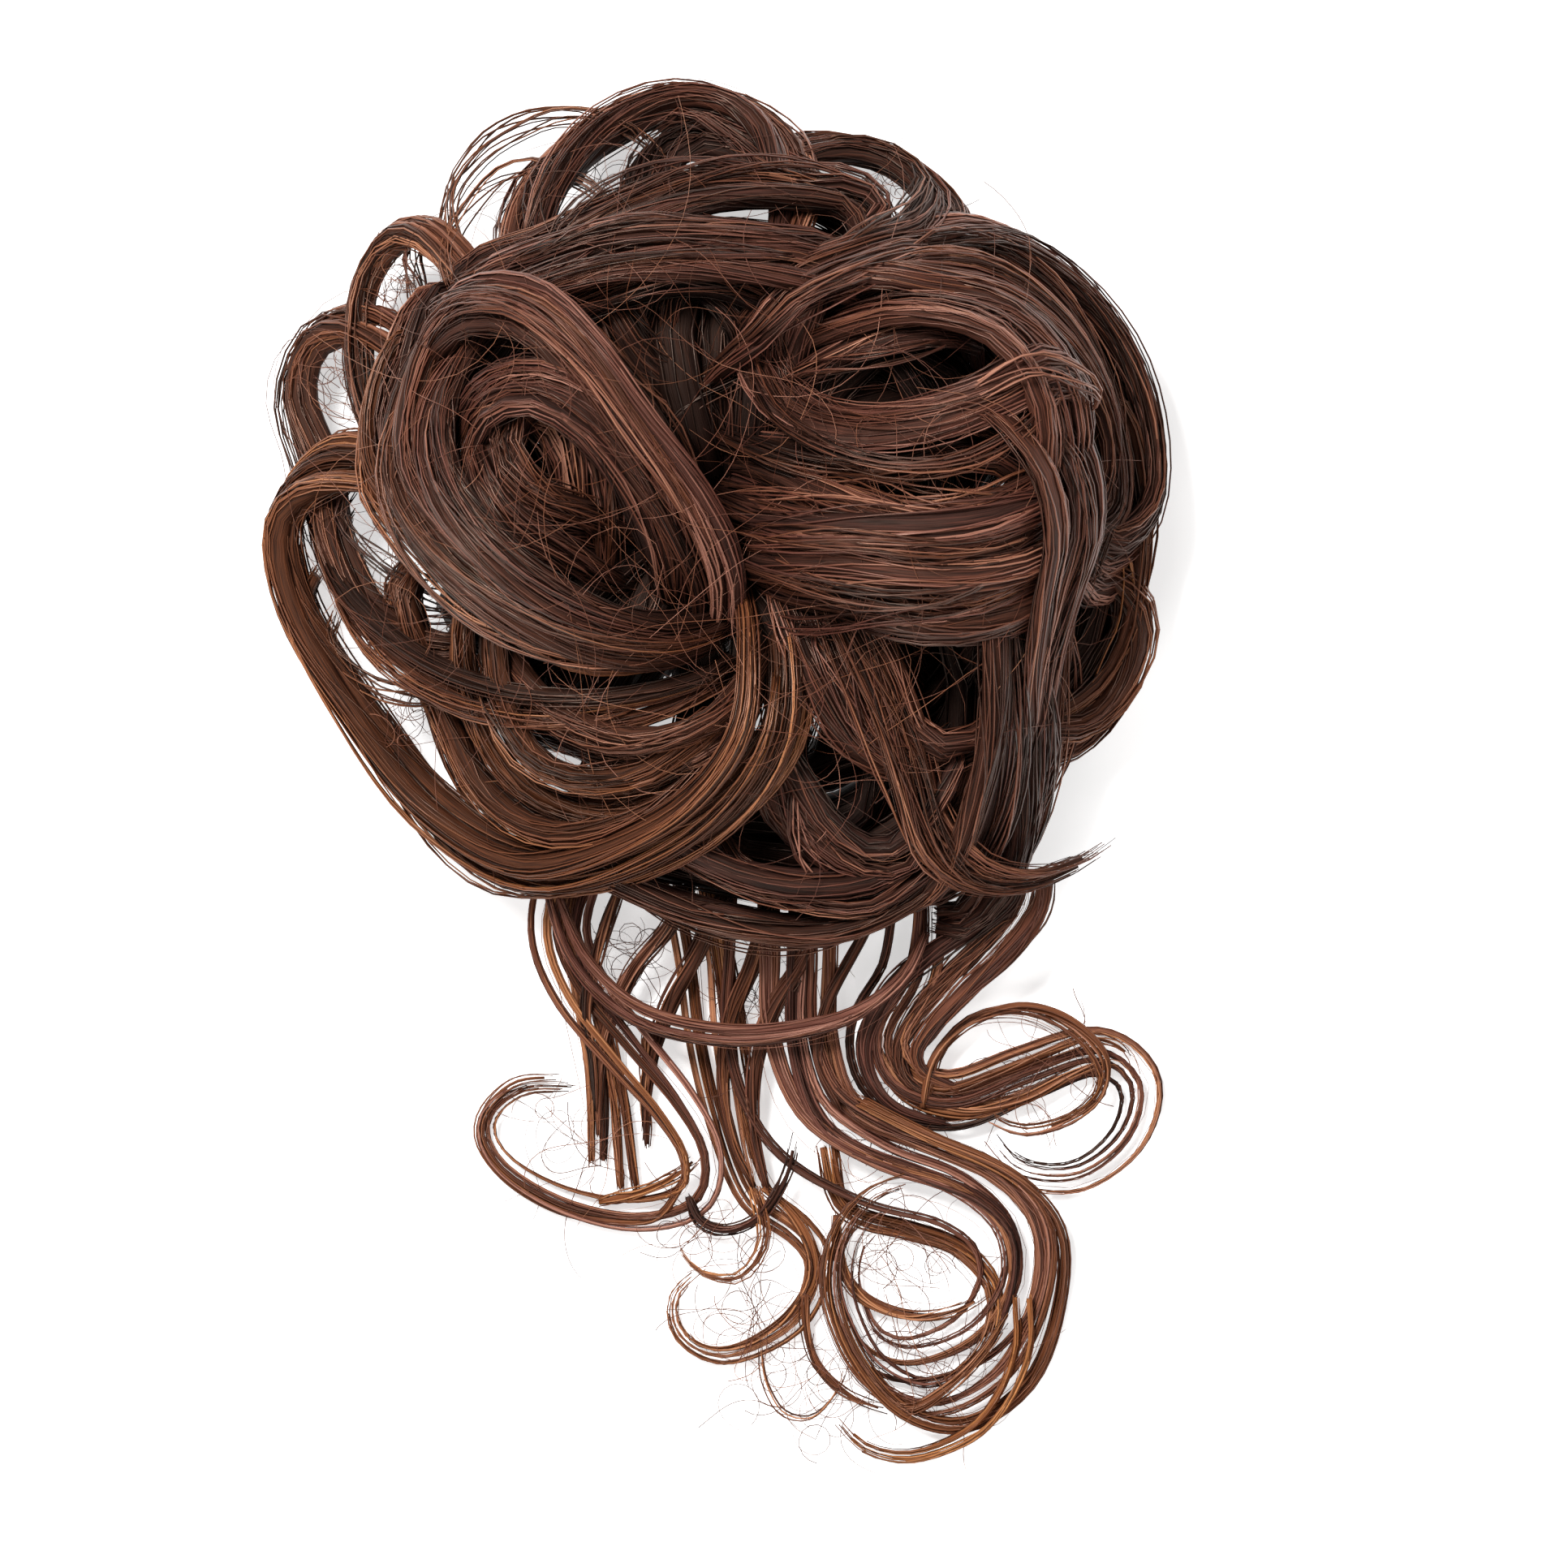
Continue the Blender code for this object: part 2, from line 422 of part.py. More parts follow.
def add_boolean(thing, operation, collection):
    step = thing.modifiers.new(operation.title(), "BOOLEAN")
    step.operation = operation
    step.operand_type = "COLLECTION"
    step.collection = collection
    # Where so many locks graze one another, the exact solver drops faces at some sizes
    step.solver = "MANIFOLD"


def band_mesh(name, grow=0.0):
    """The elastic's ring: a flat-based round rod, turned about the Z axis."""
    half_width = BAND_ROD_WIDTH / 2 + grow
    height = BAND_ROD_HEIGHT + 2 * grow
    corner = BAND_ROD_HEIGHT * 0.3
    base = -grow
    profile = [
        (half_width - corner / 2, base), (half_width, base + corner),
        (half_width, base + height - corner), (half_width - corner, base + height),
        (-half_width + corner, base + height), (-half_width, base + height - corner),
        (-half_width, base + corner), (-half_width + corner / 2, base)]
    bm = bmesh.new()
    rings = []
    for i in range(BAND_TURNS):
        angle = 2 * math.pi * i / BAND_TURNS
        rings.append([bm.verts.new(((BAND_RADIUS + x) * math.cos(angle),
                                    (BAND_RADIUS + x) * math.sin(angle), z))
                      for x, z in profile])
    for i, near in enumerate(rings):
        far = rings[(i + 1) % BAND_TURNS]
        for k in range(len(profile)):
            m = (k + 1) % len(profile)
            bm.faces.new((near[k], near[m], far[m], far[k]))
    bmesh.ops.recalc_face_normals(bm, faces=bm.faces)
    mesh = bpy.data.meshes.new(name)
    bm.to_mesh(mesh)
    bm.free()
    return mesh


def room_mesh(name):
    """The hollow that the wearer's own knot fills: a round room with a domed top. Its lower
    half reaches as far below the band as the band is high."""
    bm = bmesh.new()
    bmesh.ops.create_uvsphere(bm, u_segments=16, v_segments=10, radius=1)
    for vert in bm.verts:
        height = KNOT_ROOM_HEIGHT if vert.co.z > 0 else BAND_ROD_HEIGHT
        vert.co = Vector((vert.co.x * BAND_RADIUS, vert.co.y * BAND_RADIUS, vert.co.z * height))
    mesh = bpy.data.meshes.new(name)
    bm.to_mesh(mesh)
    bm.free()
    return mesh


def fuse(thing):
    """Settles a piece's joins and cuts. It fills the sealed bubbles left between its locks, and
    drops the crumbs, smaller than a cubic millimetre, that a cut leaves of a lock's edge."""
    bpy.context.view_layer.update()
    graph = bpy.context.evaluated_depsgraph_get()
    bm = bmesh.new()
    bm.from_object(thing, graph)
    bmesh.ops.triangulate(bm, faces=bm.faces)
    unseen = set(bm.faces)
    dropped = []
    while unseen:
        reached = [unseen.pop()]
        for face in reached:
            for edge in face.edges:
                for other in edge.link_faces:
                    if other in unseen:
                        unseen.discard(other)
                        reached.append(other)
        volume = sum(face.calc_center_median().dot(face.normal) * face.calc_area()
                     for face in reached) / 3
        if volume < CRUMB_VOLUME:
            dropped += reached
    bmesh.ops.delete(bm, geom=dropped, context="FACES")
    thing.modifiers.clear()
    bm.to_mesh(thing.data)
    bm.free()


def stand_on_origin(pieces):
    """Moves everything so that the origin is at the middle of the underside of the box."""
    bpy.context.view_layer.update()
    graph = bpy.context.evaluated_depsgraph_get()
    corners = [Vector(corner) for piece in pieces for corner in piece.evaluated_get(graph).bound_box]
    low = [min(corner[axis] for corner in corners) for axis in range(3)]
    high = [max(corner[axis] for corner in corners) for axis in range(3)]
    to_origin = Matrix.Translation((-(low[0] + high[0]) / 2, -(low[1] + high[1]) / 2, -low[2]))
    for thing in bpy.data.objects:
        thing.data.transform(to_origin)


def build():
    clear_scene()
    hair = material("dark_chestnut_fibre", (0.075, 0.027, 0.017), 0.42)
    curl_hair = material("chestnut_fibre_ends", (0.11, 0.042, 0.022), 0.42)
    cover = material("black_covered_elastic", (0.02, 0.014, 0.012), 0.8)

    pieces = [add_object("elastic_band", band_mesh("elastic_band"), cover)]

    rooms = []
    for name, locks in TAIL_GROUPS.items():
        parts = helper_collection(name + "_locks")
        room = helper_collection("room_for_" + name)
        for lock in locks:
            line = curl_line(lock)
            shape = (line, upwards, CURL_WIDTH, CURL_THICKNESS, CURL_SIDES)
            if lock is locks[0]:
                group = add_object(name, lock_mesh(name, lock, *shape), curl_hair)
            else:
                add_object(name + "." + lock.name, lock_mesh(lock.name, lock, *shape),
                           helper_in=parts)
            add_object("room." + lock.name, lock_mesh(lock.name, lock, *shape, grow=SEAM_GAP),
                       helper_in=room)
        if len(locks) > 1:
            add_boolean(group, "UNION", parts)
        for earlier in rooms:
            add_boolean(group, "DIFFERENCE", earlier)
        rooms.append(room)
        pieces.append(group)

    parts = helper_collection("bun_locks")
    for lock in BUN_LOCKS[1:]:
        mesh = lock_mesh(lock.name, lock, bun_line(lock), out_of_bun, LOCK_WIDTH,
                         LOCK_THICKNESS, LOCK_SIDES)
        add_object(lock.name, mesh, helper_in=parts)
    for i in range(ROOT_LOOPS):
        line = root_line(360 * i / ROOT_LOOPS)
        mesh = lock_mesh("root_loop", ROOT_LOOP, line, out_of_bun, LOCK_WIDTH, LOCK_THICKNESS,
                         LOCK_SIDES)
        add_object(f"root_loop_{i}", mesh, helper_in=parts)
    first = BUN_LOCKS[0]
    bun = add_object("bun_loops", lock_mesh("bun_loops", first, bun_line(first), out_of_bun,
                                            LOCK_WIDTH, LOCK_THICKNESS, LOCK_SIDES), hair)
    add_boolean(bun, "UNION", parts)
    spaces = helper_collection("spaces_in_bun")
    add_object("room_for_band", band_mesh("room_for_band", SEAM_GAP), helper_in=spaces)
    add_object("room_for_knot", room_mesh("room_for_knot"), helper_in=spaces)
    add_boolean(bun, "DIFFERENCE", spaces)
    for room in rooms:
        add_boolean(bun, "DIFFERENCE", room)
    pieces.append(bun)
    for piece in pieces:
        fuse(piece)
    stand_on_origin(pieces)


build()
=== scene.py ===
import math
import bpy
import numpy as np
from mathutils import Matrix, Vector
from mathutils.bvhtree import BVHTree


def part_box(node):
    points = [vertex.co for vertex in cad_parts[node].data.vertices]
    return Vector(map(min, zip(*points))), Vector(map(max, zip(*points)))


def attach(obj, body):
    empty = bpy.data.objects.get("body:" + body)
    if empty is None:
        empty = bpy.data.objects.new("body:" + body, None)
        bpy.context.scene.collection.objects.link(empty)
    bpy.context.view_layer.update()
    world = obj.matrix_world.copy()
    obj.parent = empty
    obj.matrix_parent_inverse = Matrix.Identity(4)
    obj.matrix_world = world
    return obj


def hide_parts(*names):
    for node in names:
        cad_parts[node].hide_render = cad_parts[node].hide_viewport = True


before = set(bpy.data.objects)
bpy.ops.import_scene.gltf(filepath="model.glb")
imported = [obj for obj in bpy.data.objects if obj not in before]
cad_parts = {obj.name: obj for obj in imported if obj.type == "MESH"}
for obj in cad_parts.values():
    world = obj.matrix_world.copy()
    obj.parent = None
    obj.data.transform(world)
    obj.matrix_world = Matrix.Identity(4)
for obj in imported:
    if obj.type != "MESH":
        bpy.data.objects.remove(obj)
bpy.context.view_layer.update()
bandLow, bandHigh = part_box("elastic_band")
bandCentre = np.array((bandLow + bandHigh) / 2)
bandCentre[2] = 0

# Sizes that the routes below are shares of, in metres, as in the solid model. The nape's and the
# tip's y are in hundredths of the bun's radius, and a lock's strandStep is between a strand's rings
bun = {"radius": 0.075, "height": 0.060, "heartRise": 0.25, "dive": 0.006,
       "roomRadius": 0.0263, "roomHeight": 0.0228}
sizes = {"bun": {"width": 0.013, "thickness": 0.005, "strandStep": 0.0048},  # of a lock
         "tail": {"width": 0.0065, "thickness": 0.0030, "strandStep": 0.0029}}  # of a curl
tail = {"napeY": -92, "tipY": -211, "length": 0.089, "layer": 0.0034, "tableGap": 0.0003}
bunHeart = np.array([0, 0, bun["height"] * bun["heartRise"]])  # the locks bulge away from here

# Real fibres are 0.08 mm thick. Each strand here is a few of them together, 0.34 mm, so that it shows
strandRadius = 0.00017
lineStep = 0.001  # spacing of the points that a lock's own line is worked out at


# Small helpers

def unit(vectors):
    return vectors / np.maximum(np.linalg.norm(vectors, axis=-1, keepdims=True), 1e-12)


def smoothLine(points):
    # evenly spaced points on a Catmull-Rom curve
    points = np.array(points, float)
    ends = np.vstack([2 * points[0] - points[1], points, 2 * points[-1] - points[-2]])
    t = np.linspace(0, 1, 12, endpoint=False)[:, None]
    fine = []
    for a, b, c, d in zip(ends, ends[1:], ends[2:], ends[3:]):
        fine.append(0.5 * (2 * b + (c - a) * t + (2 * a - 5 * b + 4 * c - d) * t**2
                           + (3 * b - a - 3 * c + d) * t**3))
    fine = np.vstack([*fine, points[-1:]])
    run = np.concatenate([[0], np.cumsum(np.linalg.norm(np.diff(fine, axis=0), axis=1))])
    want = np.linspace(0, run[-1], max(8, round(run[-1] / lineStep)) + 1)
    return np.stack([np.interp(want, run, fine[:, axis]) for axis in range(3)], axis=1)


def planPoint(x, y):
    # metres from hundredths of the bun's radius; below the nape, y follows the tail's length
    part = bun["radius"] / 100
    if y >= tail["napeY"]:
        return x * part, y * part
    down = (y - tail["napeY"]) / (tail["napeY"] - tail["tipY"]) * tail["length"]
    return x * part, tail["napeY"] * part + down


def bunRoute(lock):
    # each end that isn't loose dives a little further in, under the other locks
    points = [np.array((*planPoint(x, y), rise / 100 * bun["height"])) for x, y, rise in lock["route"]]

    def dived(end, before):
        onward = unit(end - before) + unit(bunHeart - end)
        return end + unit(onward) * bun["dive"]

    points.insert(0, dived(points[0], points[1]))
    if not lock.get("free"):
        points.append(dived(points[-1], points[-2]))
    return points


def tailRoute(route, thick):
    low = tail["tableGap"] + sizes["tail"]["thickness"] * thick / 2
    return [(*planPoint(x, y), low + layers * tail["layer"]) for x, y, layers in route]


def outOfBun(line):
    return unit(line - bunHeart)


def upwards(line):
    return np.tile([0.0, 0.0, 1.0], (len(line), 1))


facings = {"bun": outOfBun, "tail": upwards}  # the way a lock's broad side is turned


def lockFrames(line, wanted):
    # the way along, the way the broad side faces, and the way across, at each point
    along = unit(np.gradient(line, axis=0))
    facing = np.empty_like(line)
    normal = wanted[0]
    for i, way in enumerate(along):
        steer = wanted[i] - way * (wanted[i] @ way)
        carried = unit(normal - way * (normal @ way))
        normal = unit(carried + steer * 0.5)
        facing[i] = normal
    return facing, np.cross(along, facing)


def wander(rng, count, t, size, waves):
    # slow smooth drift of its own for each strand or clump: a long wave and a shorter, smaller one
    drift = 0
    for share in (0.7, 0.3):
        turns = rng.uniform(0.4, 1, (count, 1)) * waves * (1.3 - share)
        drift = drift + share * np.sin(2 * math.pi * (turns * t + rng.uniform(0, 1, (count, 1))))
    return drift * size


def sampleAt(values, t):
    # values along the line, read at shares t of its length
    where = np.clip(t, 0, 1) * (len(values) - 1)
    low = np.minimum(where.astype(int), len(values) - 2)
    part = where - low
    if values.ndim > 1:
        part = part[..., None]
    return values[low] * (1 - part) + values[low + 1] * part


def paintedDeepShade(points):
    # 0 at the bun's surface, 1 deep inside it: how much painted shade darkens the hair there
    reach = np.array([bun["radius"], bun["radius"], bun["height"] - bunHeart[2]])
    outwards = np.linalg.norm((points - bunHeart) / reach, axis=-1)
    return np.clip((shading["litAbove"] - outwards) / shading["darkening"], 0, 1)


def clearOfRoom(points):
    # nothing reaches into the hollow that the wearer's own knot fills
    room = np.array([bun["roomRadius"], bun["roomRadius"], bun["roomHeight"]])
    reach = np.linalg.norm(points / room, axis=-1, keepdims=True)
    return np.where(reach < 1, points / np.maximum(reach, 0.3), points)


# Locks, combed from strands

lockDefaults = {
    "broad": 1.0, "thick": 1.0, "root": 0.6, "end": 0.6, "taper": 0.8, "opening": 0.2,
    "strands": 70, "clumps": 10, "twist": 0.15, "core": 0.84, "tone": 0.0, "warm": 0.10,
    "free": False, "stray": 0.10, "hiddenSide": 0.35, "companions": 2,
    "parts": 3, "partWidth": 0.46, "partThick": 0.85, "spread": 0.80, "weave": 0.38, "step": 1.0,
    "toneSpread": 0.08, "warmSpread": 0.06, "gather": 1.0,
}
# A companion is a thin lock that has come away from a main one and wanders beside it
companion = {"broad": 0.26, "thick": 0.5, "strands": 11, "clumps": 3, "core": 0, "stray": 0.25,
             "root": 0.5, "end": 0.3, "taper": 0.7, "hiddenSide": 1.0, "companions": 0, "parts": 1}
companionVaries = {"tone": 0.08, "warm": 0.05}
lockLines = {"bun": [], "tail": []}  # kept for the flyaway hairs

# How the strands lie: as shares of a lock's length, of the gap between clumps or of its half size
combing = {
    "uneven": 0.03, "unevenFree": 0.12, "longTips": 0.10, "taperEnd": 0.06, "taperFree": 0.2,
    "looseFrom": 0.7, "looseness": 0.5, "clumpShift": 0.2, "clumpDrift": 0.30, "clumpLift": 0.10,
    "clumpSpread": 0.25, "place": 0.6, "placeDrift": 0.32, "depth": 0.88, "crest": 0.16,
    "depthVaries": 0.03, "depthDrift": 0.05, "strayFrom": 0.1, "strayTo": 0.5,
}
# How light or dark the hair is: a strand's own tone and how far it varies, and painted shade from what lies
# around it (between clumps, in cores, deep in the bun), with painted light on a lock's upper side
shading = {
    "strand": 0.42, "clumpVaries": 0.13, "strandVaries": 0.11, "drift": 0.18, "paintedShadeBetweenClumps": 0.15,
    "paintedTopLight": 0.16, "warmVaries": 0.08, "paintedCoreShade": {"bun": 0.25, "tail": 0.40},
    "paintedDeepShadeStrands": 0.3, "paintedDeepShadeCore": 0.2, "litAbove": 0.85, "darkening": 0.5,
}


def sectionShare(lock, t):
    share = np.where(t < lock["opening"],
                     lock["root"] + (1 - lock["root"]) * np.sin(math.pi / 2 * t / lock["opening"]), 1)
    past = np.clip((t - lock["taper"]) / (1 - lock["taper"]), 0, 1)
    return share * (1 + (lock["end"] - 1) * past)


def halfSizes(lock, size, full=1.0, gather=1.0):
    # half the width and half the thickness where the section is a share of the full one
    return (size["width"] * lock["broad"] / 2 * full**gather,
            size["thickness"] * lock["thick"] / 2 * np.sqrt(full))


def offsetLine(line, across, facing, sideways, lift):
    return line + across * sideways[..., None] + facing * lift[..., None]


def ringCount(lock, line, size):
    return max(6, round(len(line) * lineStep / (size["strandStep"] * lock["step"]))) + 1


def perimeterAngle(lock, size, share):
    # the angle at a share of the way round the section, with fewer strands on the hidden side
    angles = np.linspace(0, 2 * math.pi, 121)
    width, thickness = size["width"] * lock["broad"], size["thickness"] * lock["thick"]
    pace = np.hypot(width * np.sin(angles), thickness * np.cos(angles))
    pace *= np.where(np.sin(angles) < -0.1, lock["hiddenSide"], 1)
    run = np.concatenate([[0], np.cumsum((pace[1:] + pace[:-1]) / 2)])
    turns = np.floor(share)
    return np.interp(share - turns, run / run[-1], angles) + 2 * math.pi * turns


def tubeRings(paths, radii, facing, sides=3):
    # rings of a few points round each path, in an order that turns the faces outwards
    along = unit(np.gradient(paths, axis=1))
    normal = unit(facing - along * np.sum(facing * along, axis=-1, keepdims=True))
    across = np.cross(along, normal)
    angles = 2 * math.pi * (np.arange(sides) + 0.25) / sides
    ring = (across[:, :, None] * np.cos(angles)[:, None] + normal[:, :, None] * np.sin(angles)[:, None])
    return paths[:, :, None] + ring * radii[:, :, None, None]


def aboveTable(points, margin):
    points[..., 2] = np.maximum(points[..., 2], margin)
    return points


def combLock(lock, guide, rng):
    # the strands of one lock, in clumps that drift, rise and sink along it
    line, facing, across, size = guide
    count, clumps, free = lock["strands"], lock["clumps"], lock["free"]
    t = np.linspace(0, 1, ringCount(lock, line, size))[None, :]
    start = rng.uniform(0, combing["uneven"], (count, 1))
    stop = 1 - rng.uniform(0, combing["unevenFree"] if free else combing["uneven"], (count, 1))
    if free:
        stop -= combing["longTips"] * rng.uniform(0, 1, (count, 1))**3
    t = start + (stop - start) * t

    clump = np.arange(count) % clumps
    clumpT = np.linspace(0, 1, 60)[None, :]
    gap = 1 / clumps
    shift = combing["clumpShift"]
    centre = (np.arange(clumps)[:, None] + rng.uniform(-shift, shift, (clumps, 1))) * gap
    centre = centre + lock["twist"] * clumpT + wander(rng, clumps, clumpT, combing["clumpDrift"] * gap, 1.6)
    lift = wander(rng, clumps, clumpT, combing["clumpLift"], 1.8)
    spread = 1 + wander(rng, clumps, clumpT, combing["clumpSpread"], 1.5)

    def ofClump(values):
        return np.stack([np.interp(row, clumpT[0], values[k]) for row, k in zip(t, clump)])

    place = rng.uniform(-combing["place"], combing["place"], (count, 1))
    place = place + wander(rng, count, t, combing["placeDrift"], 2.6)
    share = ofClump(centre) + place * gap * ofClump(spread)
    crest = np.cos(math.pi * np.clip(place, -0.5, 0.5))
    radial = combing["depth"] + combing["crest"] * crest + ofClump(lift)
    radial = radial + rng.normal(0, combing["depthVaries"], (count, 1))
    radial = radial + wander(rng, count, t, combing["depthDrift"], 5)
    astray = rng.uniform(0, 1, (count, 1)) < lock["stray"]
    strays = astray * rng.uniform(combing["strayFrom"], combing["strayTo"], (count, 1))
    radial = radial + strays * np.sin(math.pi * t)**2
    if free:
        loose = np.clip((t - combing["looseFrom"]) / (1 - combing["looseFrom"]), 0, 1)**2
        radial = radial * (1 + loose * rng.uniform(-combing["looseness"], combing["looseness"], (count, 1)))

    angle = perimeterAngle(lock, size, share)
    halfWidth, halfThick = halfSizes(lock, size, sectionShare(lock, t))
    outward = sampleAt(facing, t)
    paths = offsetLine(sampleAt(line, t), sampleAt(across, t), outward,
                       halfWidth * radial * np.cos(angle), halfThick * radial * np.sin(angle))

    taper = combing["taperFree"] if free else combing["taperEnd"]
    ends = np.clip((t - start) / combing["taperEnd"], 0.5, 1) * np.clip((stop - t) / taper, 0.5, 1)
    radii = strandRadius * rng.uniform(0.8, 1.25, (count, 1)) * ends

    def varies(ofClumps, ofStrands):
        return rng.normal(0, ofClumps, (clumps, 1))[clump] + rng.normal(0, ofStrands, (count, 1))

    shade = shading["strand"] + lock["tone"] + varies(shading["clumpVaries"], shading["strandVaries"])
    # painted shade between clumps, and painted light and shade by side: a lock's upper side lighter, its
    # hidden side darker
    shade = shade - shading["paintedShadeBetweenClumps"] * (1 - crest) + shading["paintedTopLight"] * np.sin(angle)
    shade = shade + ofClump(wander(rng, clumps, clumpT, shading["drift"], 2.5))
    # warm: partly the hair's own auburn, partly painted light for thin hair lit through
    warm = lock["warm"] + varies(shading["warmVaries"], shading["warmVaries"]) + 0 * t
    return {"paths": paths, "radii": radii, "facing": outward, "shade": shade, "warm": warm}


def coreRings(lock, guide, rng):
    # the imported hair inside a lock: one ridged tube under the strands
    line, facing, across, size = guide
    sides = 8 if size["width"] * lock["broad"] < 0.004 else 14
    t = np.linspace(0.015, 0.9 if lock["free"] else 0.985, ringCount(lock, line, size))
    angles = 2 * math.pi * (np.arange(sides) + 0.5) / sides
    ridges = 1 + 0.05 * np.sin(angles * 5 + 4 * t[:, None] + rng.uniform(0, 6))
    full = sectionShare(lock, t)
    if lock["free"]:
        full = full * (1 - 0.6 * np.clip((t - 0.5) / 0.3, 0, 1))  # it ends well inside a loose tip
    halfWidth, halfThick = halfSizes(lock, size, full)
    sideways = lock["core"] * halfWidth[:, None] * ridges * np.cos(angles)
    lift = lock["core"] * halfThick[:, None] * ridges * np.sin(angles)
    line, across, facing = (sampleAt(values, t)[:, None] for values in (line, across, facing))
    return offsetLine(line, across, facing, sideways, lift)[None]


def partLines(lock, guide, rng):
    # the narrower locks that make up a lock, which part, cross and lie over each other
    line, facing, across, size = guide
    t = np.linspace(0, 1, len(line))
    halfWidth, halfThick = halfSizes(lock, size, sectionShare(lock, t), lock["gather"])
    lines = []
    for k in range(lock["parts"]):
        place = (2 * k + 1) / lock["parts"] - 1
        sideways = lock["spread"] * place + wander(rng, 1, t, lock["weave"], 1.2)[0]
        lift = 0.25 * (-1)**k + wander(rng, 1, t, 0.45, 1.4)[0]
        lines.append(offsetLine(line, across, facing, halfWidth * sideways, halfThick * lift))
    return lines


def besideLine(lock, guide, rng, reach=1.0):
    # a line that wanders beside and above a lock's own, over a part of its length
    line, facing, across, size = guide
    first, last = rng.uniform(0, 0.25), rng.uniform(0.7, 1)
    part = line[int(first * len(line)):int(last * len(line))]
    if len(part) < 12:
        return line
    t = np.linspace(first, last, len(part))
    rising = np.sin(math.pi * np.linspace(0, 1, len(part)))**0.5
    sideways = rng.uniform(-1.1, 1.1) * reach + wander(rng, 1, t, 0.6 * reach, 1.5)[0]
    lift = rng.uniform(0.7, 1.5) * reach + wander(rng, 1, t, 0.5 * reach, 2.0)[0]
    halfWidth, halfThick = halfSizes(lock, size)
    return offsetLine(part, sampleAt(across, t), sampleAt(facing, t),
                      halfWidth * sideways * rising, halfThick * lift * rising)


def lockBundles(lock, points, where, rng):
    # a lock's own strands, or those of its parts, and its companions
    lock = {**lockDefaults, **lock}
    line = smoothLine(points)
    guide = (line, *lockFrames(line, facings[where](line)), sizes[where])
    bundles = []
    if lock["parts"] > 1:
        lockLines[where].append((lock, guide))
        share = {"broad": lock["broad"] * lock["partWidth"], "thick": lock["thick"] * lock["partThick"],
                 "strands": round(lock["strands"] / lock["parts"]), "companions": 0, "parts": 1,
                 "clumps": max(2, round(lock["clumps"] / lock["parts"]))}
        for part in partLines(lock, guide, rng):
            tone = lock["tone"] + rng.normal(0, lock["toneSpread"])
            warm = lock["warm"] + rng.normal(0, lock["warmSpread"])
            bundles += lockBundles({**lock, **share, "tone": tone, "warm": warm}, part, where, rng)
    else:
        bundles += strandBundles(lock, guide, where, rng)
    for _ in range(lock["companions"]):
        beside = besideLine(lock, guide, rng)
        tone = lock["tone"] + rng.normal(0, companionVaries["tone"])
        warm = lock["warm"] + rng.normal(0, companionVaries["warm"])
        small = {**companion, "tone": tone, "warm": warm, "free": lock["free"]}
        bundles += lockBundles(small, beside, where, rng)
    return bundles


def strandBundles(lock, guide, where, rng):
    comb = combLock(lock, guide, rng)
    paths = comb["paths"]
    if where == "bun":
        # painted shade: strands darker the deeper they lie in the bun
        comb["shade"] = comb["shade"] - shading["paintedDeepShadeStrands"] * paintedDeepShade(paths)
        paths = clearOfRoom(paths)
    paths = aboveTable(paths + bandCentre, tail["tableGap"] + strandRadius)
    rings = tubeRings(paths, comb["radii"], comb["facing"])
    bundles = [{"rings": rings, "shade": comb["shade"], "warm": comb["warm"]}]
    if lock["core"]:
        rings = coreRings(lock, guide, rng)
        if where == "bun":
            rings = clearOfRoom(rings)
        rings = aboveTable(rings + bandCentre, tail["tableGap"])
        flat = np.zeros(rings.shape[:2])
        # painted shade: the core under the strands is set darker than they are, most in the bun
        shade = flat + shading["paintedCoreShade"][where] + lock["tone"]
        if where == "bun":
            # painted shade: the core darker the deeper it lies in the bun
            shade = shade - shading["paintedDeepShadeCore"] * paintedDeepShade(rings.mean(axis=2) - bandCentre)
        bundles.append({"rings": rings, "shade": shade, "warm": flat + lock["warm"], "finish": 1})
    return bundles


# Meshes from bundles of tubes

# Each tube gets a strip of its own in the OFBake map. Thin tubes have up to 4 sides
bakeMap = {"rows": 100, "coreShare": 0.28, "margin": 0.08, "thinSides": 4, "capSize": 0.02}
fibreShift = 0.37  # how far the streaks of one tube lie from those of the next, in metres


def bakeCells(bundles):
    # each tube's own strip of the texture: low corner, width and height
    thin = sum(b["rings"].shape[0] for b in bundles if b["rings"].shape[2] <= bakeMap["thinSides"])
    thick = sum(b["rings"].shape[0] for b in bundles) - thin
    thinTop = 1 - bakeMap["coreShare"] if thick else 1.0
    columns = max(1, math.ceil(thin / bakeMap["rows"]))
    thinCount = thickCount = 0
    for bundle in bundles:
        tubes = bundle["rings"].shape[0]
        if bundle["rings"].shape[2] <= bakeMap["thinSides"]:
            k = thinCount + np.arange(tubes)
            thinCount += tubes
            width, height = 1 / columns, thinTop / bakeMap["rows"]
            low = np.stack([(k % columns) * width, (k // columns) * height], axis=1)
        else:
            k = thickCount + np.arange(tubes)
            thickCount += tubes
            width, height = 1.0, (1 - thinTop) / thick
            low = np.stack([0 * k, thinTop + k * height], axis=1)
        bundle["cell"] = (low, width, height)


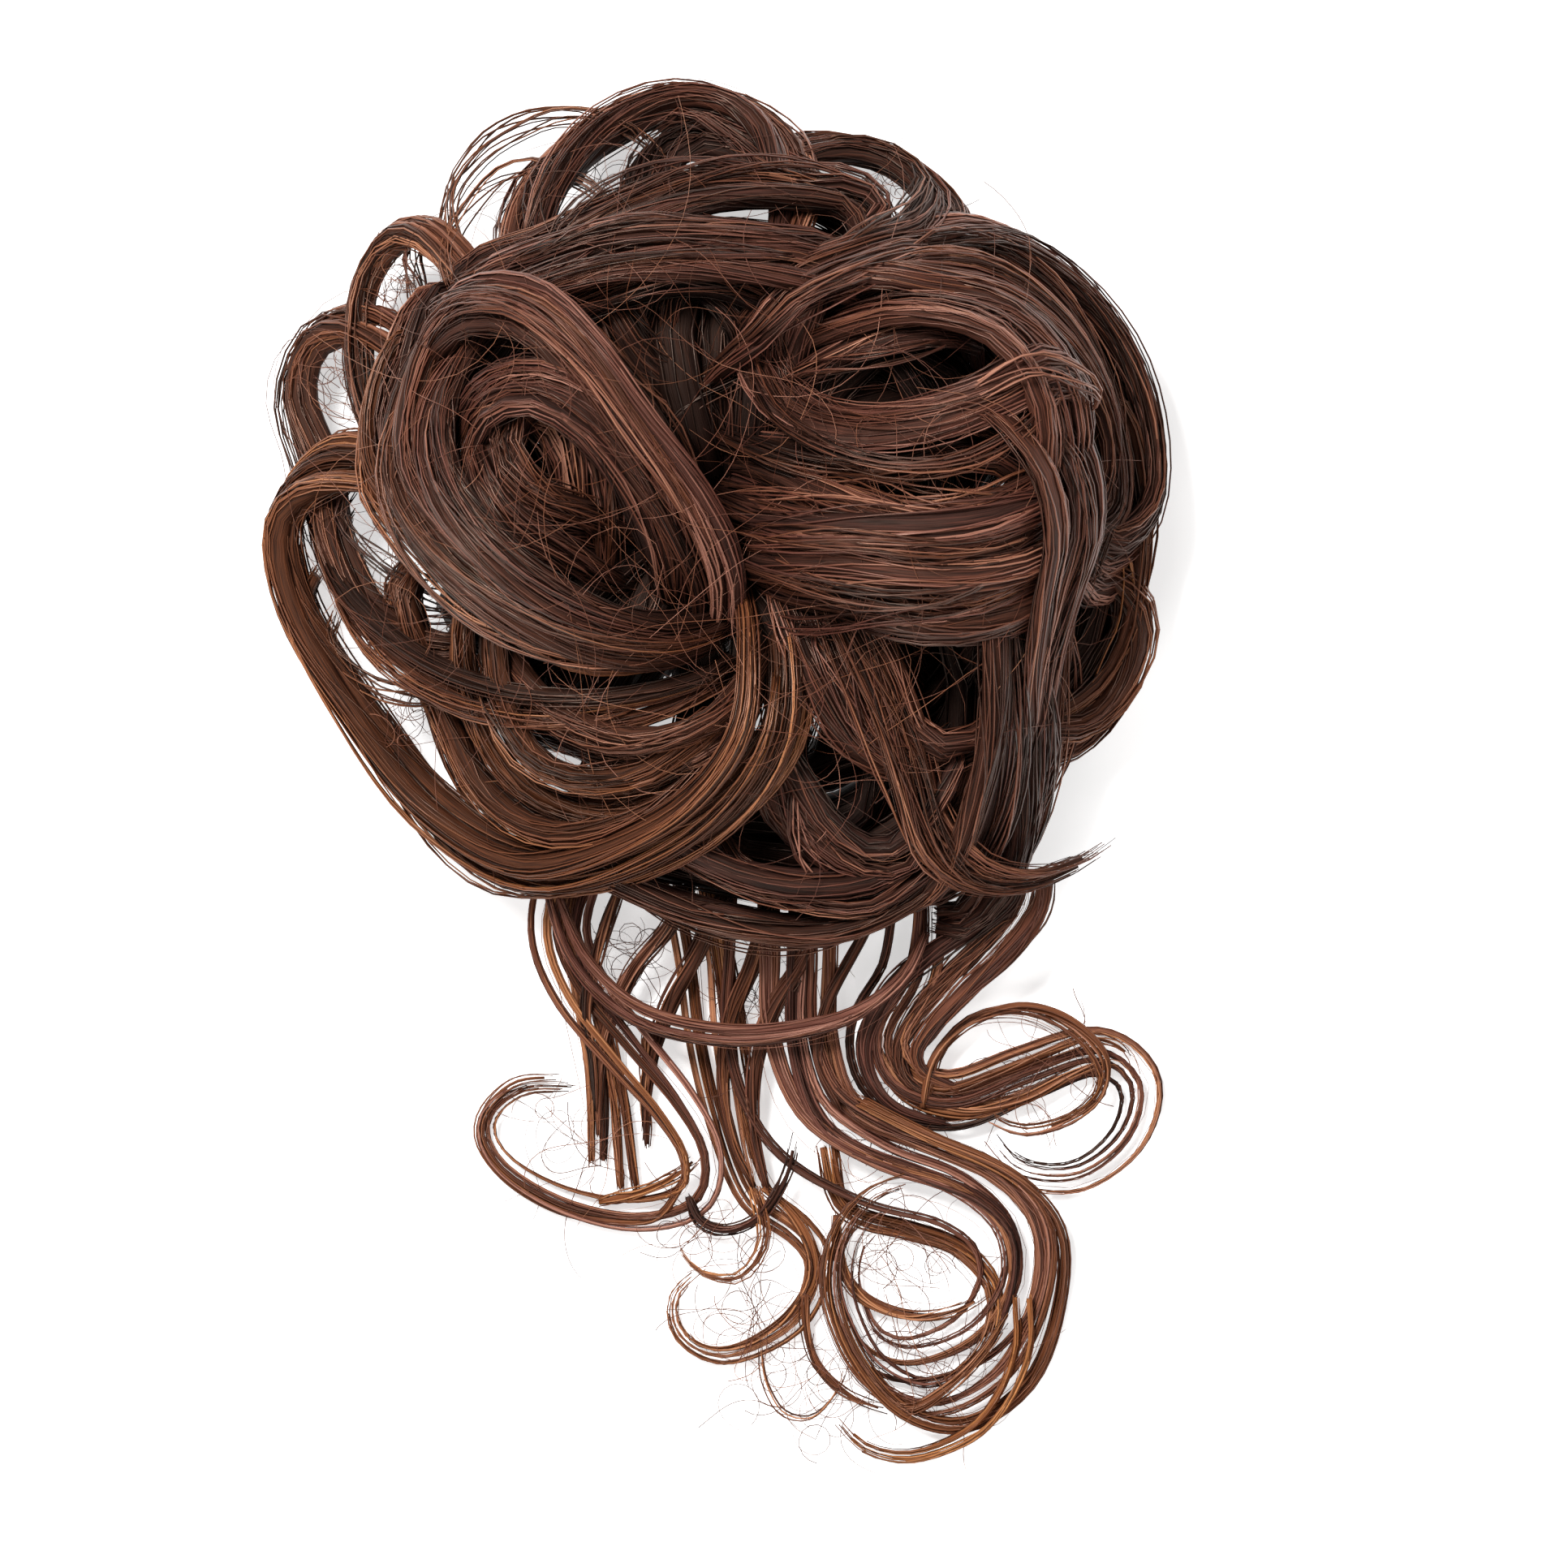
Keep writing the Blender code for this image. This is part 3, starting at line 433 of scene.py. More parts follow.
def tubeLoops(bundle, offset, tubeOffset):
    # corners, face sizes and both UV maps of a bundle of closed tubes
    rings = bundle["rings"]
    tubeCount, ringTotal, sides = rings.shape[:3]
    low, width, height = bundle["cell"]
    margin = bakeMap["margin"]
    spans = ringTotal if bundle.get("closed") else ringTotal - 1
    tube = np.arange(tubeCount)[:, None, None]
    i = np.arange(spans)[None, :, None]
    j = np.arange(sides)[None, None, :]
    base = offset + tube * ringTotal * sides

    run = np.linalg.norm(np.diff(rings[:, :, 0], axis=1, append=rings[:, :1, 0]), axis=-1)[:, :spans]
    run = np.concatenate([np.zeros((tubeCount, 1)), np.cumsum(run, axis=1)], axis=1)
    girth = np.linalg.norm(rings[:, :, 1] - rings[:, :, 0], axis=-1).mean(axis=1) * sides
    corners = [(i, j), (i + 1, j), (i + 1, j + 1), (i, j + 1)]
    verts, fibre, bake = [], [], []
    for row, column in corners:
        row = row + 0 * tube + 0 * j
        column = column + 0 * tube + 0 * i
        verts.append(base + row % ringTotal * sides + column % sides)
        across = column / sides * girth[:, None, None] + fibreShift * (tubeOffset + tube)
        fibre.append(np.stack([across, run[tube, row]], axis=-1))
        u = low[:, 0][:, None, None] + width * (margin + (1 - 2 * margin) * row / spans)
        v = low[:, 1][:, None, None] + height * (margin + (1 - 2 * margin) * column / sides)
        bake.append(np.stack([u, v], axis=-1))
    verts = np.stack(verts, axis=-1).reshape(-1)
    fibre = np.stack(fibre, axis=-2).reshape(-1, 2)
    bake = np.stack(bake, axis=-2).reshape(-1, 2)

    if bundle.get("closed"):
        return verts, np.full(tubeCount * ringTotal * sides, 4), fibre, bake
    capVerts, capFibre, capBake = [], [], []
    for row, order in ((0, np.arange(sides)), (ringTotal - 1, np.arange(sides)[::-1])):
        whichTube = np.arange(tubeCount)[:, None]
        capVerts.append((offset + (whichTube * ringTotal + row) * sides + order).reshape(-1))
        across = order / sides * girth[:, None] + fibreShift * (tubeOffset + whichTube)
        capFibre.append(np.stack([across, run[:, row][:, None] + 0 * across], axis=-1).reshape(-1, 2))
        inward = bakeMap["capSize"] * (1 + np.sin(2 * math.pi * order / sides))
        inward = inward if row == 0 else 1 - inward
        u = low[:, :1] + width * (margin + (1 - 2 * margin) * inward)
        v = low[:, 1:] + height * (margin + (1 - 2 * margin) * order / sides)
        capBake.append(np.stack([u, v], axis=-1).reshape(-1, 2))
    quadCount = tubeCount * (ringTotal - 1) * sides
    totals = np.concatenate([np.full(quadCount, 4), np.full(2 * tubeCount, sides)])
    return (np.concatenate([verts, *capVerts]), totals, np.concatenate([fibre, *capFibre]),
            np.concatenate([bake, *capBake]))


def meshFromTubes(name, bundles):
    bakeCells(bundles)
    points, shade, warm, verts, totals, finishes, fibre, bake = [], [], [], [], [], [], [], []
    offset = tubes = 0
    for bundle in bundles:
        tubeCount, ringTotal, sides = bundle["rings"].shape[:3]
        loopVerts, total, fibreUv, bakeUv = tubeLoops(bundle, offset, tubes)
        verts.append(loopVerts)
        totals.append(total)
        finishes.append(np.full(len(total), bundle.get("finish", 0)))
        fibre.append(fibreUv)
        bake.append(bakeUv)
        points.append(bundle["rings"].reshape(-1, 3))
        shade.append(np.repeat(bundle["shade"].reshape(-1), sides))
        warm.append(np.repeat(bundle["warm"].reshape(-1), sides))
        offset += tubeCount * ringTotal * sides
        tubes += tubeCount
    points, verts, totals = np.concatenate(points), np.concatenate(verts), np.concatenate(totals)
    mesh = bpy.data.meshes.new(name)
    mesh.vertices.add(len(points))
    mesh.vertices.foreach_set("co", points.astype(np.float32).reshape(-1))
    mesh.loops.add(len(verts))
    mesh.loops.foreach_set("vertex_index", verts.astype(np.int32))
    mesh.polygons.add(len(totals))
    mesh.polygons.foreach_set("loop_start", (np.cumsum(totals) - totals).astype(np.int32))
    mesh.update(calc_edges=True)
    mesh.polygons.foreach_set("use_smooth", np.ones(len(totals), bool))
    mesh.polygons.foreach_set("material_index", np.concatenate(finishes).astype(np.int32))
    for key, values in (("shade", shade), ("warm", warm)):
        attribute = mesh.attributes.new(key, "FLOAT", "POINT")
        attribute.data.foreach_set("value", np.concatenate(values).astype(np.float32))
    for key, values in (("fibre", fibre), ("OFBake", bake)):
        layer = mesh.uv_layers.new(name=key)
        layer.data.foreach_set("uv", np.concatenate(values).astype(np.float32).reshape(-1))
    mesh.update()
    return mesh


def addPiece(name, bundles, finishes, nodes):
    mesh = meshFromTubes(name, bundles)
    for finish in finishes[:1 + max(bundle.get("finish", 0) for bundle in bundles)]:
        mesh.materials.append(finish)
    piece = bpy.data.objects.new(name, mesh)
    bpy.context.scene.collection.objects.link(piece)
    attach(piece, "root")
    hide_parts(*nodes)
    triangles = sum(len(p.vertices) - 2 for p in mesh.polygons)
    print(f"{name}: {triangles} triangles")
    return piece


# Materials

def hexColour(code):
    channels = [int(code[i:i + 2], 16) / 255 for i in (1, 3, 5)]
    return (*[c / 12.92 if c <= 0.04045 else ((c + 0.055) / 1.055)**2.4 for c in channels], 1)


def setInputs(tree, node, inputs):
    for key, value in inputs.items():
        if isinstance(value, bpy.types.NodeSocket):
            tree.links.new(value, node.inputs[key])
        else:
            node.inputs[key].default_value = value


def addNode(tree, kind, settings=None, inputs=None, stops=()):
    node = tree.nodes.new(kind)
    for key, value in (settings or {}).items():
        setattr(node, key, value)
    setInputs(tree, node, inputs or {})
    for i, (place, code) in enumerate(stops):
        if i == len(node.color_ramp.elements):
            node.color_ramp.elements.new(1.0)
        node.color_ramp.elements[i].position = place
        node.color_ramp.elements[i].color = hexColour(code)
    return node


def newMaterial(name):
    made = bpy.data.materials.new(name)
    made.use_nodes = True
    return made, made.node_tree, made.node_tree.nodes["Principled BSDF"]


# Modacrylic hair fibre, wet-spun and heat-set into curls: dark chestnut dyed in the melt, with
# a soft long highlight where light runs along the fibre, and a warmer tone where it lies thin, partly the
# fibre's own auburn and partly painted light for thin hair lit through
fibreLook = {
    "name": "modacrylic_fibre_heat_set",
    "tones": [(0.0, "#130908"), (0.35, "#3c221c"), (0.65, "#673b30"), (1.0, "#ab7765")],
    "warmTones": [(0.0, "#2e160c"), (0.5, "#7a4526"), (1.0, "#c4824c")],
    "streakAcross": 0.00025,  # fibres are 0.08 mm apart, drawn three times as coarse so that they show
    "streakAlong": 0.012,
    "streakContrast": 0.5,
    "roughness": (0.30, 0.48),
    "ior": 1.52,
    "specular": 0.6,
    "specularTint": "#ffdcc8",
    "bump": 0.00006,
}
# The same fibre packed tight inside a lock, where little light gets in and none glances off
packedLook = {
    **fibreLook,
    "name": "modacrylic_fibre_packed",
    "streakContrast": 1.3,
    "roughness": (0.45, 0.8),
    "specular": 0.25,
    "bump": 0.00025,
}


def makeFibreMaterial(look):
    made, tree, shader = newMaterial(look["name"])
    along = addNode(tree, "ShaderNodeUVMap", {"uv_map": "fibre"})
    scale = (1 / look["streakAcross"], 1 / look["streakAlong"], 1)
    place = addNode(tree, "ShaderNodeMapping", inputs={"Vector": along.outputs["UV"], "Scale": scale})
    streak = addNode(tree, "ShaderNodeTexNoise", inputs={
        "Vector": place.outputs["Vector"], "Scale": 1.0, "Detail": 2.0, "Roughness": 0.6})
    shade = addNode(tree, "ShaderNodeAttribute", {"attribute_name": "shade"})
    warm = addNode(tree, "ShaderNodeAttribute", {"attribute_name": "warm"})
    streaks = addNode(tree, "ShaderNodeMath", {"operation": "MULTIPLY_ADD"}, {
        0: streak.outputs["Fac"], 1: look["streakContrast"], 2: -look["streakContrast"] / 2})
    tone = addNode(tree, "ShaderNodeMath", {"operation": "ADD"}, {
        0: shade.outputs["Fac"], 1: streaks.outputs[0]})
    cool = addNode(tree, "ShaderNodeValToRGB", inputs={"Fac": tone.outputs[0]}, stops=look["tones"])
    warmer = addNode(tree, "ShaderNodeValToRGB", inputs={"Fac": tone.outputs[0]}, stops=look["warmTones"])
    mix = addNode(tree, "ShaderNodeMix", {"data_type": "RGBA"}, {
        0: warm.outputs["Fac"], 6: cool.outputs["Color"], 7: warmer.outputs["Color"]})
    gloss = addNode(tree, "ShaderNodeMapRange", inputs={
        "Value": streak.outputs["Fac"], "To Min": look["roughness"][0], "To Max": look["roughness"][1]})
    bump = addNode(tree, "ShaderNodeBump", inputs={
        "Height": streak.outputs["Fac"], "Distance": look["bump"], "Strength": 1.0})
    setInputs(tree, shader, {
        "Base Color": mix.outputs[2], "Roughness": gloss.outputs["Result"],
        "Normal": bump.outputs["Normal"], "IOR": look["ior"], "Specular IOR Level": look["specular"],
        "Specular Tint": hexColour(look["specularTint"])})
    return made


hairFinishes = [makeFibreMaterial(fibreLook), makeFibreMaterial(packedLook)]

# Polyester yarn, two plies twisted together and wound over the rubber: matt, soft and slightly fuzzy
yarnLook = {"tones": [(0.0, "#120c0d"), (0.5, "#2b1f20"), (1.0, "#4d3c3a")], "girth": 0.0034,
            "twist": 0.0014, "plies": 2, "plyDepth": 0.22, "fuzz": 0.0002, "roughness": 0.85,
            "sheen": 0.25, "specular": 0.2, "bump": 0.00015}


def makeYarnMaterial(look):
    made, tree, shader = newMaterial("polyester_yarn_wound_over_elastic")
    along = addNode(tree, "ShaderNodeUVMap", {"uv_map": "fibre"})
    plies = addNode(tree, "ShaderNodeMapping", inputs={
        "Vector": along.outputs["UV"], "Scale": (look["plies"] / look["girth"], 1 / look["twist"], 0)})
    split = addNode(tree, "ShaderNodeSeparateXYZ", inputs={"Vector": plies.outputs["Vector"]})
    slant = addNode(tree, "ShaderNodeMath", {"operation": "ADD"}, {
        0: split.outputs["X"], 1: split.outputs["Y"]})
    turns = addNode(tree, "ShaderNodeMath", {"operation": "MULTIPLY"}, {
        0: slant.outputs[0], 1: 2 * math.pi})
    wave = addNode(tree, "ShaderNodeMath", {"operation": "SINE"}, {0: turns.outputs[0]})
    place = addNode(tree, "ShaderNodeMapping", inputs={
        "Vector": along.outputs["UV"], "Scale": (1 / look["fuzz"], 0.3 / look["fuzz"], 1)})
    fuzz = addNode(tree, "ShaderNodeTexNoise", inputs={
        "Vector": place.outputs["Vector"], "Scale": 1.0, "Detail": 2.0, "Roughness": 0.7})
    height = addNode(tree, "ShaderNodeMath", {"operation": "MULTIPLY_ADD"}, {
        0: wave.outputs[0], 1: look["plyDepth"], 2: fuzz.outputs["Fac"]})
    ramp = addNode(tree, "ShaderNodeValToRGB", inputs={"Fac": height.outputs[0]}, stops=look["tones"])
    bump = addNode(tree, "ShaderNodeBump", inputs={
        "Height": height.outputs[0], "Distance": look["bump"], "Strength": 1.0})
    setInputs(tree, shader, {
        "Base Color": ramp.outputs["Color"], "Normal": bump.outputs["Normal"],
        "Roughness": look["roughness"], "Sheen Weight": look["sheen"],
        "Specular IOR Level": look["specular"]})
    return made


yarnFinish = makeYarnMaterial(yarnLook)


def bunPiece(name, seed, locks):
    rng = np.random.default_rng(seed)
    bundles = []
    for lock in locks.values():
        bundles += lockBundles(lock, bunRoute(lock), "bun", rng)
    return addPiece(name, bundles, hairFinishes, ["bun_loops"])


# In the tail a lock is a set of thin ribbons with light between them. Their lighter, warmer tone is partly
# the hair's own and partly painted light, for thin hair lit through
ribbons = {"parts": 6, "partWidth": 0.15, "partThick": 0.45, "spread": 1.15, "weave": 0.5,
           "companions": 0, "hiddenSide": 0.7, "core": 0.8, "toneSpread": 0.16, "warmSpread": 0.2,
           "stray": 0.04, "gather": 0.4, "tone": 0.13}
thinRibbons = {**ribbons, "parts": 2, "partWidth": 0.45, "partThick": 0.7, "spread": 1.0, "weave": 0.6,
               "core": 0.75, "toneSpread": 0.12, "gather": 0.6}
ribbonsFrom = 0.9  # a lock broader than this is made of ribbons, a narrower one of thin ribbons


def tailPiece(name, seed, locks, node):
    rng = np.random.default_rng(seed)
    bundles = []
    for lock in locks.values():
        lock = {**(ribbons if lock.get("broad", 1.0) > ribbonsFrom else thinRibbons), **lock}
        points = tailRoute(lock["route"], lock.get("thick", 1.0))
        bundles += lockBundles(lock, points, "tail", rng)
    return addPiece(name, bundles, hairFinishes, [node])


# A route's numbers are x and y in hundredths of the bun's radius from the band's middle, and the
# rise in hundredths of the bun's height. In the tail the third number counts layers of curls
tucked = {"root": 0.5, "end": 0.5}  # drawn in at both ends, where other locks cover it

# The rim on the left: the sweep round the lower left and the loops that stand off the edge
rimHair = {
    "rimSweep": dict(step=0.8, thick=1.1, strands=104, warm=0.55, parts=4, partWidth=0.3, spread=1.05,
        route=[(-60, 7, 44), (-80, 11, 30), (-93.5, 0, 21), (-91.5, -20, 18), (-79, -42, 18),
        (-60, -66, 20), (-35, -79, 34), (-5, -70, 56), (12, -52, 68), (14, -30, 64), (6, -14, 40)]),
    "rimInner": dict(root=0.7, end=0.7, warm=0.45, parts=3, partWidth=0.42, spread=0.9, route=[
        (-68, -20, 36), (-60, -42, 30), (-49, -62, 30), (-32, -72, 40), (-12, -68, 50), (2, -56, 54)]),
    "crossLock": dict(broad=0.5, thick=0.8, root=0.5, strands=42, warm=0.4, route=[
        (-87, 0, 16), (-79, -20, 30), (-62, -35, 48), (-42, -43, 62), (-20, -44, 68), (0, -38, 62)]),
    "edgeLoopMid": dict(broad=0.52, strands=50, step=0.75, warm=0.3, route=[
        (-58, 28, 40), (-74, 39, 26), (-87, 37, 17), (-91, 25, 15), (-86, 10, 19), (-83, -8, 26),
        (-74, -24, 32), (-60, -30, 42)]),
    "edgeLoopHigh": dict(broad=0.52, thick=0.9, strands=50, step=0.75, warm=0.3, route=[
        (-46, 42, 46), (-59, 57, 36), (-69, 59, 26), (-76, 49, 22), (-77.5, 34, 25), (-75, 18, 32),
        (-69, 4, 44), (-58, -8, 56)]),
    "edgeFiller": dict(broad=0.8, thick=0.8, strands=50, route=[
        (-62, 46, 40), (-67, 34, 44), (-69, 18, 46), (-64, 4, 52), (-50, -6, 60)]),
}
bunPiece("rim_hair", 11, rimHair)

# The swirl at the upper left, round an eye of short curls
swirlHair = {
    "swirlOuter": dict(tucked, broad=0.82, taper=0.75, strands=80, warm=0.25, parts=4, partWidth=0.34,
        weave=0.45, route=[
        (-56, 42, 52), (-64, 26, 60), (-66, 8, 70), (-58, -7, 78), (-44, -20, 84), (-28, -29, 84),
        (-12, -32, 76), (1, -28, 60)]),
    "swirlMid": dict(broad=0.72, root=0.5, end=0.4, taper=0.6, strands=76, parts=4, partWidth=0.34,
        weave=0.4, route=[
        (-50, 36, 62), (-59, 20, 74), (-57, 4, 84), (-46, -11, 90), (-31, -22, 88), (-15, -27, 76),
        (-2, -25, 58)]),
    "swirlInner": dict(broad=0.5, thick=0.8, root=0.5, end=0.4, taper=0.6, strands=46, route=[
        (-46, 22, 64), (-50.5, 9, 76), (-44, -4, 80), (-32, -12, 72), (-20, -17, 58)]),
    "browOuter": dict(broad=0.75, thick=0.9, root=0.4, end=0.5, taper=0.75, strands=80, parts=4,
        partWidth=0.34, weave=0.4, route=[
        (-61, 34, 56), (-52, 43.5, 72), (-38, 42.5, 86), (-26, 31, 93), (-16, 15, 93), (-6, -1, 86),
        (0, -16, 72), (0, -28, 54)]),
    "browInner": dict(tucked, broad=0.65, thick=0.9, taper=0.75, strands=66, route=[
        (-53, 10, 66), (-48, 21, 80), (-37, 24.5, 88), (-25, 19, 90), (-16, 8, 86), (-10, -7, 76),
        (-8, -20, 60)]),
    "eyeCurl": dict(broad=0.8, strands=50, stray=0.5, companions=4, route=[
        (-46, 14, 60), (-38, 19, 70), (-30, 12, 73), (-27, -1, 66), (-25, -12, 52)]),
    "eyeRoll": dict(broad=0.8, strands=50, stray=0.6, companions=4, route=[
        (-30, 22, 62), (-41, 21, 72), (-46, 11, 76), (-40, 1, 75), (-30, -4, 68), (-18, -8, 56)]),
}
bunPiece("swirl_hair", 12, swirlHair)

# The arches at the top edge and the bands that run across below them
archHair = {
    "topArch": dict(broad=0.75, step=0.75, end=0.5, strands=70, route=[
        (-42, 50, 50), (-39, 66, 38), (-28, 80, 26), (-12, 88.5, 20), (3, 87.5, 20), (14, 79, 28),
        (18, 66, 44), (14, 50, 58)]),
    # darker tone: painted shade inside the arch
    "archInside": dict(broad=0.8, thick=0.9, strands=50, tone=-0.1, route=[
        (-13, 56, 44), (-14, 70, 34), (-6, 79, 28), (6, 77, 30), (16, 66, 40)]),
    "secondArch": dict(tucked, broad=0.8, step=0.8, strands=75, route=[
        (10, 74, 32), (24, 78.5, 22), (38, 75.5, 20), (48.5, 66, 28), (46, 57, 46), (34, 52, 64),
        (19, 46, 70), (6, 34, 58)]),
    "uprightLock": dict(broad=0.6, thick=0.9, strands=50, route=[
        (-35, 74, 28), (-40, 64, 36), (-40, 52, 46), (-33, 42, 54)]),
    "upperBand": dict(tucked, thick=0.9, strands=76, parts=4, partWidth=0.32, weave=0.45, route=[
        (-54, 49, 52), (-38, 54, 60), (-20, 62, 62), (-2, 68, 58), (15, 69, 52), (29, 66, 46),
        (34, 58, 50)]),
    "middleBand": dict(tucked, broad=1.1, thick=0.9, strands=80, parts=4, partWidth=0.32, weave=0.45,
        route=[(-56, 44, 54), (-40, 47, 68), (-20, 52, 74), (0, 54, 74), (18, 53, 70), (30, 48, 60)]),
    # darker tone: painted shade where the band lies deep
    "lowerBand": dict(tucked, broad=0.8, thick=0.9, strands=60, tone=-0.14, route=[
        (-34, 40, 58), (-20, 46, 66), (-2, 48, 64), (14, 42, 56), (20, 30, 46)]),
}
bunPiece("arch_hair", 13, archHair)

# The three arches at the right and the bowl between them
rightHair = {
    "rightArchOuter": dict(tucked, broad=1.1, strands=90, route=[
        (26, 48, 46), (42, 56, 50), (60, 58.5, 40), (77, 49, 28), (89, 33, 22), (94.5, 13, 21),
        (93, -3, 26), (84, -12, 38), (74, -6, 54)]),
    "rightArchMiddle": dict(tucked, broad=1.2, strands=90, route=[
        (24, 42, 52), (39, 49, 68), (58, 48, 62), (73, 38, 54), (83, 22, 48), (85, 6, 46), (80, -5, 50),
        (70, -8, 58)]),
    "rightArchInner": dict(tucked, broad=1.1, strands=85, route=[
        (20, 36, 56), (42, 43, 70), (60, 40, 76), (71, 29, 78), (75, 15, 76), (72, 2, 70), (62, -6, 62)]),
    "bowlLock": dict(broad=0.9, thick=0.8, root=0.5, end=0.4, strands=70, route=[
        (18, 44, 66), (13, 32, 62), (18, 21, 68), (31, 16.5, 78), (46, 18, 86), (60, 23, 88), (71, 28, 82),
        (79, 24, 70)]),
    # darker tone: painted shade where it lies under the bowl
    "bowlUnderlock": dict(tucked, broad=0.8, thick=0.8, strands=60, tone=-0.14, route=[
        (2, 17, 48), (17, 14, 62), (34, 12, 68), (52, 14, 70), (64, 10, 68), (70, -2, 62)]),
    "stripeLock": dict(tucked, broad=0.9, thick=0.8, strands=55, route=[
        (12, 24, 52), (25, 32, 64), (40, 37, 68), (54, 36, 64)]),
}
bunPiece("right_hair", 14, rightHair)

# The roll across the middle, which falls over to the lower right
rollHair = {
    "rollTop": dict(tucked, thick=0.9, strands=80, route=[
        (4, 5, 54), (16, 1, 70), (32, -4.5, 84), (48, -6, 90), (62, -3, 86), (74, 4, 74)]),
    "rollMiddle": dict(tucked, broad=1.1, strands=85, route=[
        (3, -6, 56), (12, -10.5, 74), (28, -12, 88), (46, -13.5, 93), (62, -11, 88), (75, -4, 74)]),
    "rollLow": dict(tucked, broad=1.1, strands=80, route=[
        (4, -11, 50), (14, -15.5, 66), (30, -17.5, 80), (48, -21, 86), (62, -19, 82), (74, -13, 70)]),
    "fallInner": dict(broad=1.2, thick=0.9, strands=85, route=[
        (60, -10, 66), (64, -26, 70), (65, -44, 62), (62, -62, 48), (56, -77, 36), (46, -86, 28)]),
    "fallOuter": dict(broad=1.2, strands=85, route=[
        (68, -6, 60), (71, -24, 54), (70, -44, 42), (69, -62, 30), (65, -77, 22), (56, -90, 20)]),
    "sideLoop": dict(broad=0.85, step=0.75, strands=70, warm=0.3, route=[
        (70, 0, 40), (86, -10, 24), (92.5, -24, 18), (88, -40, 18), (78, -49, 24), (64, -48, 34)]),
}
bunPiece("roll_hair", 15, rollHair)

# The bowls above the nape, the loose flick and the warm curl at the lower left
frontHair = {
    "centreDrop": dict(broad=0.9, thick=0.9, strands=60, route=[
        (18, -18, 54), (26, -36, 62), (34, -50, 58), (46, -56, 52), (60, -50, 50)]),
    "flickLock": dict(broad=0.7, thick=0.7, end=0.12, taper=0.55, strands=45, core=0.6, free=True,
        warm=0.25, clumps=6, route=[
        (25, -17, 66), (36, -36, 64), (42, -54, 60), (47, -70, 54), (56, -79, 46), (68, -81.5, 38),
        (80, -78, 30), (90, -71.5, 24)]),
    "lowBowl": dict(broad=0.9, thick=0.9, strands=60, route=[
        (15, -54, 52), (22, -68, 50), (33, -76, 46), (45, -72, 46), (54, -58, 46)]),
    "frontBowlHigh": dict(thick=0.9, strands=70, route=[
        (-14, -70, 40), (3, -79, 42), (20, -83, 42), (37, -80, 40), (50, -68, 40)]),
    "frontBowl": dict(broad=1.1, thick=0.9, root=0.5, strands=80, route=[
        (-32, -76, 30), (-13, -85.5, 31), (6, -91, 32), (25, -92, 32), (42, -85, 32), (54, -74, 34)]),
    "lowerRoll": dict(broad=1.15, strands=76, warm=0.2, parts=4, partWidth=0.34, weave=0.45, route=[
        (-43, -37, 50), (-34, -47, 58), (-18, -52, 65), (-2, -48, 69), (9, -36, 60)]),
    "orangeCurl": dict(broad=1.1, thick=0.9, strands=80, warm=0.6, route=[
        (-49, -20, 54), (-50, -38, 54), (-43, -54, 52), (-30, -62, 54), (-14, -61, 58), (0, -52, 62),
        (8, -40, 60)]),
}
bunPiece("front_hair", 16, frontHair)
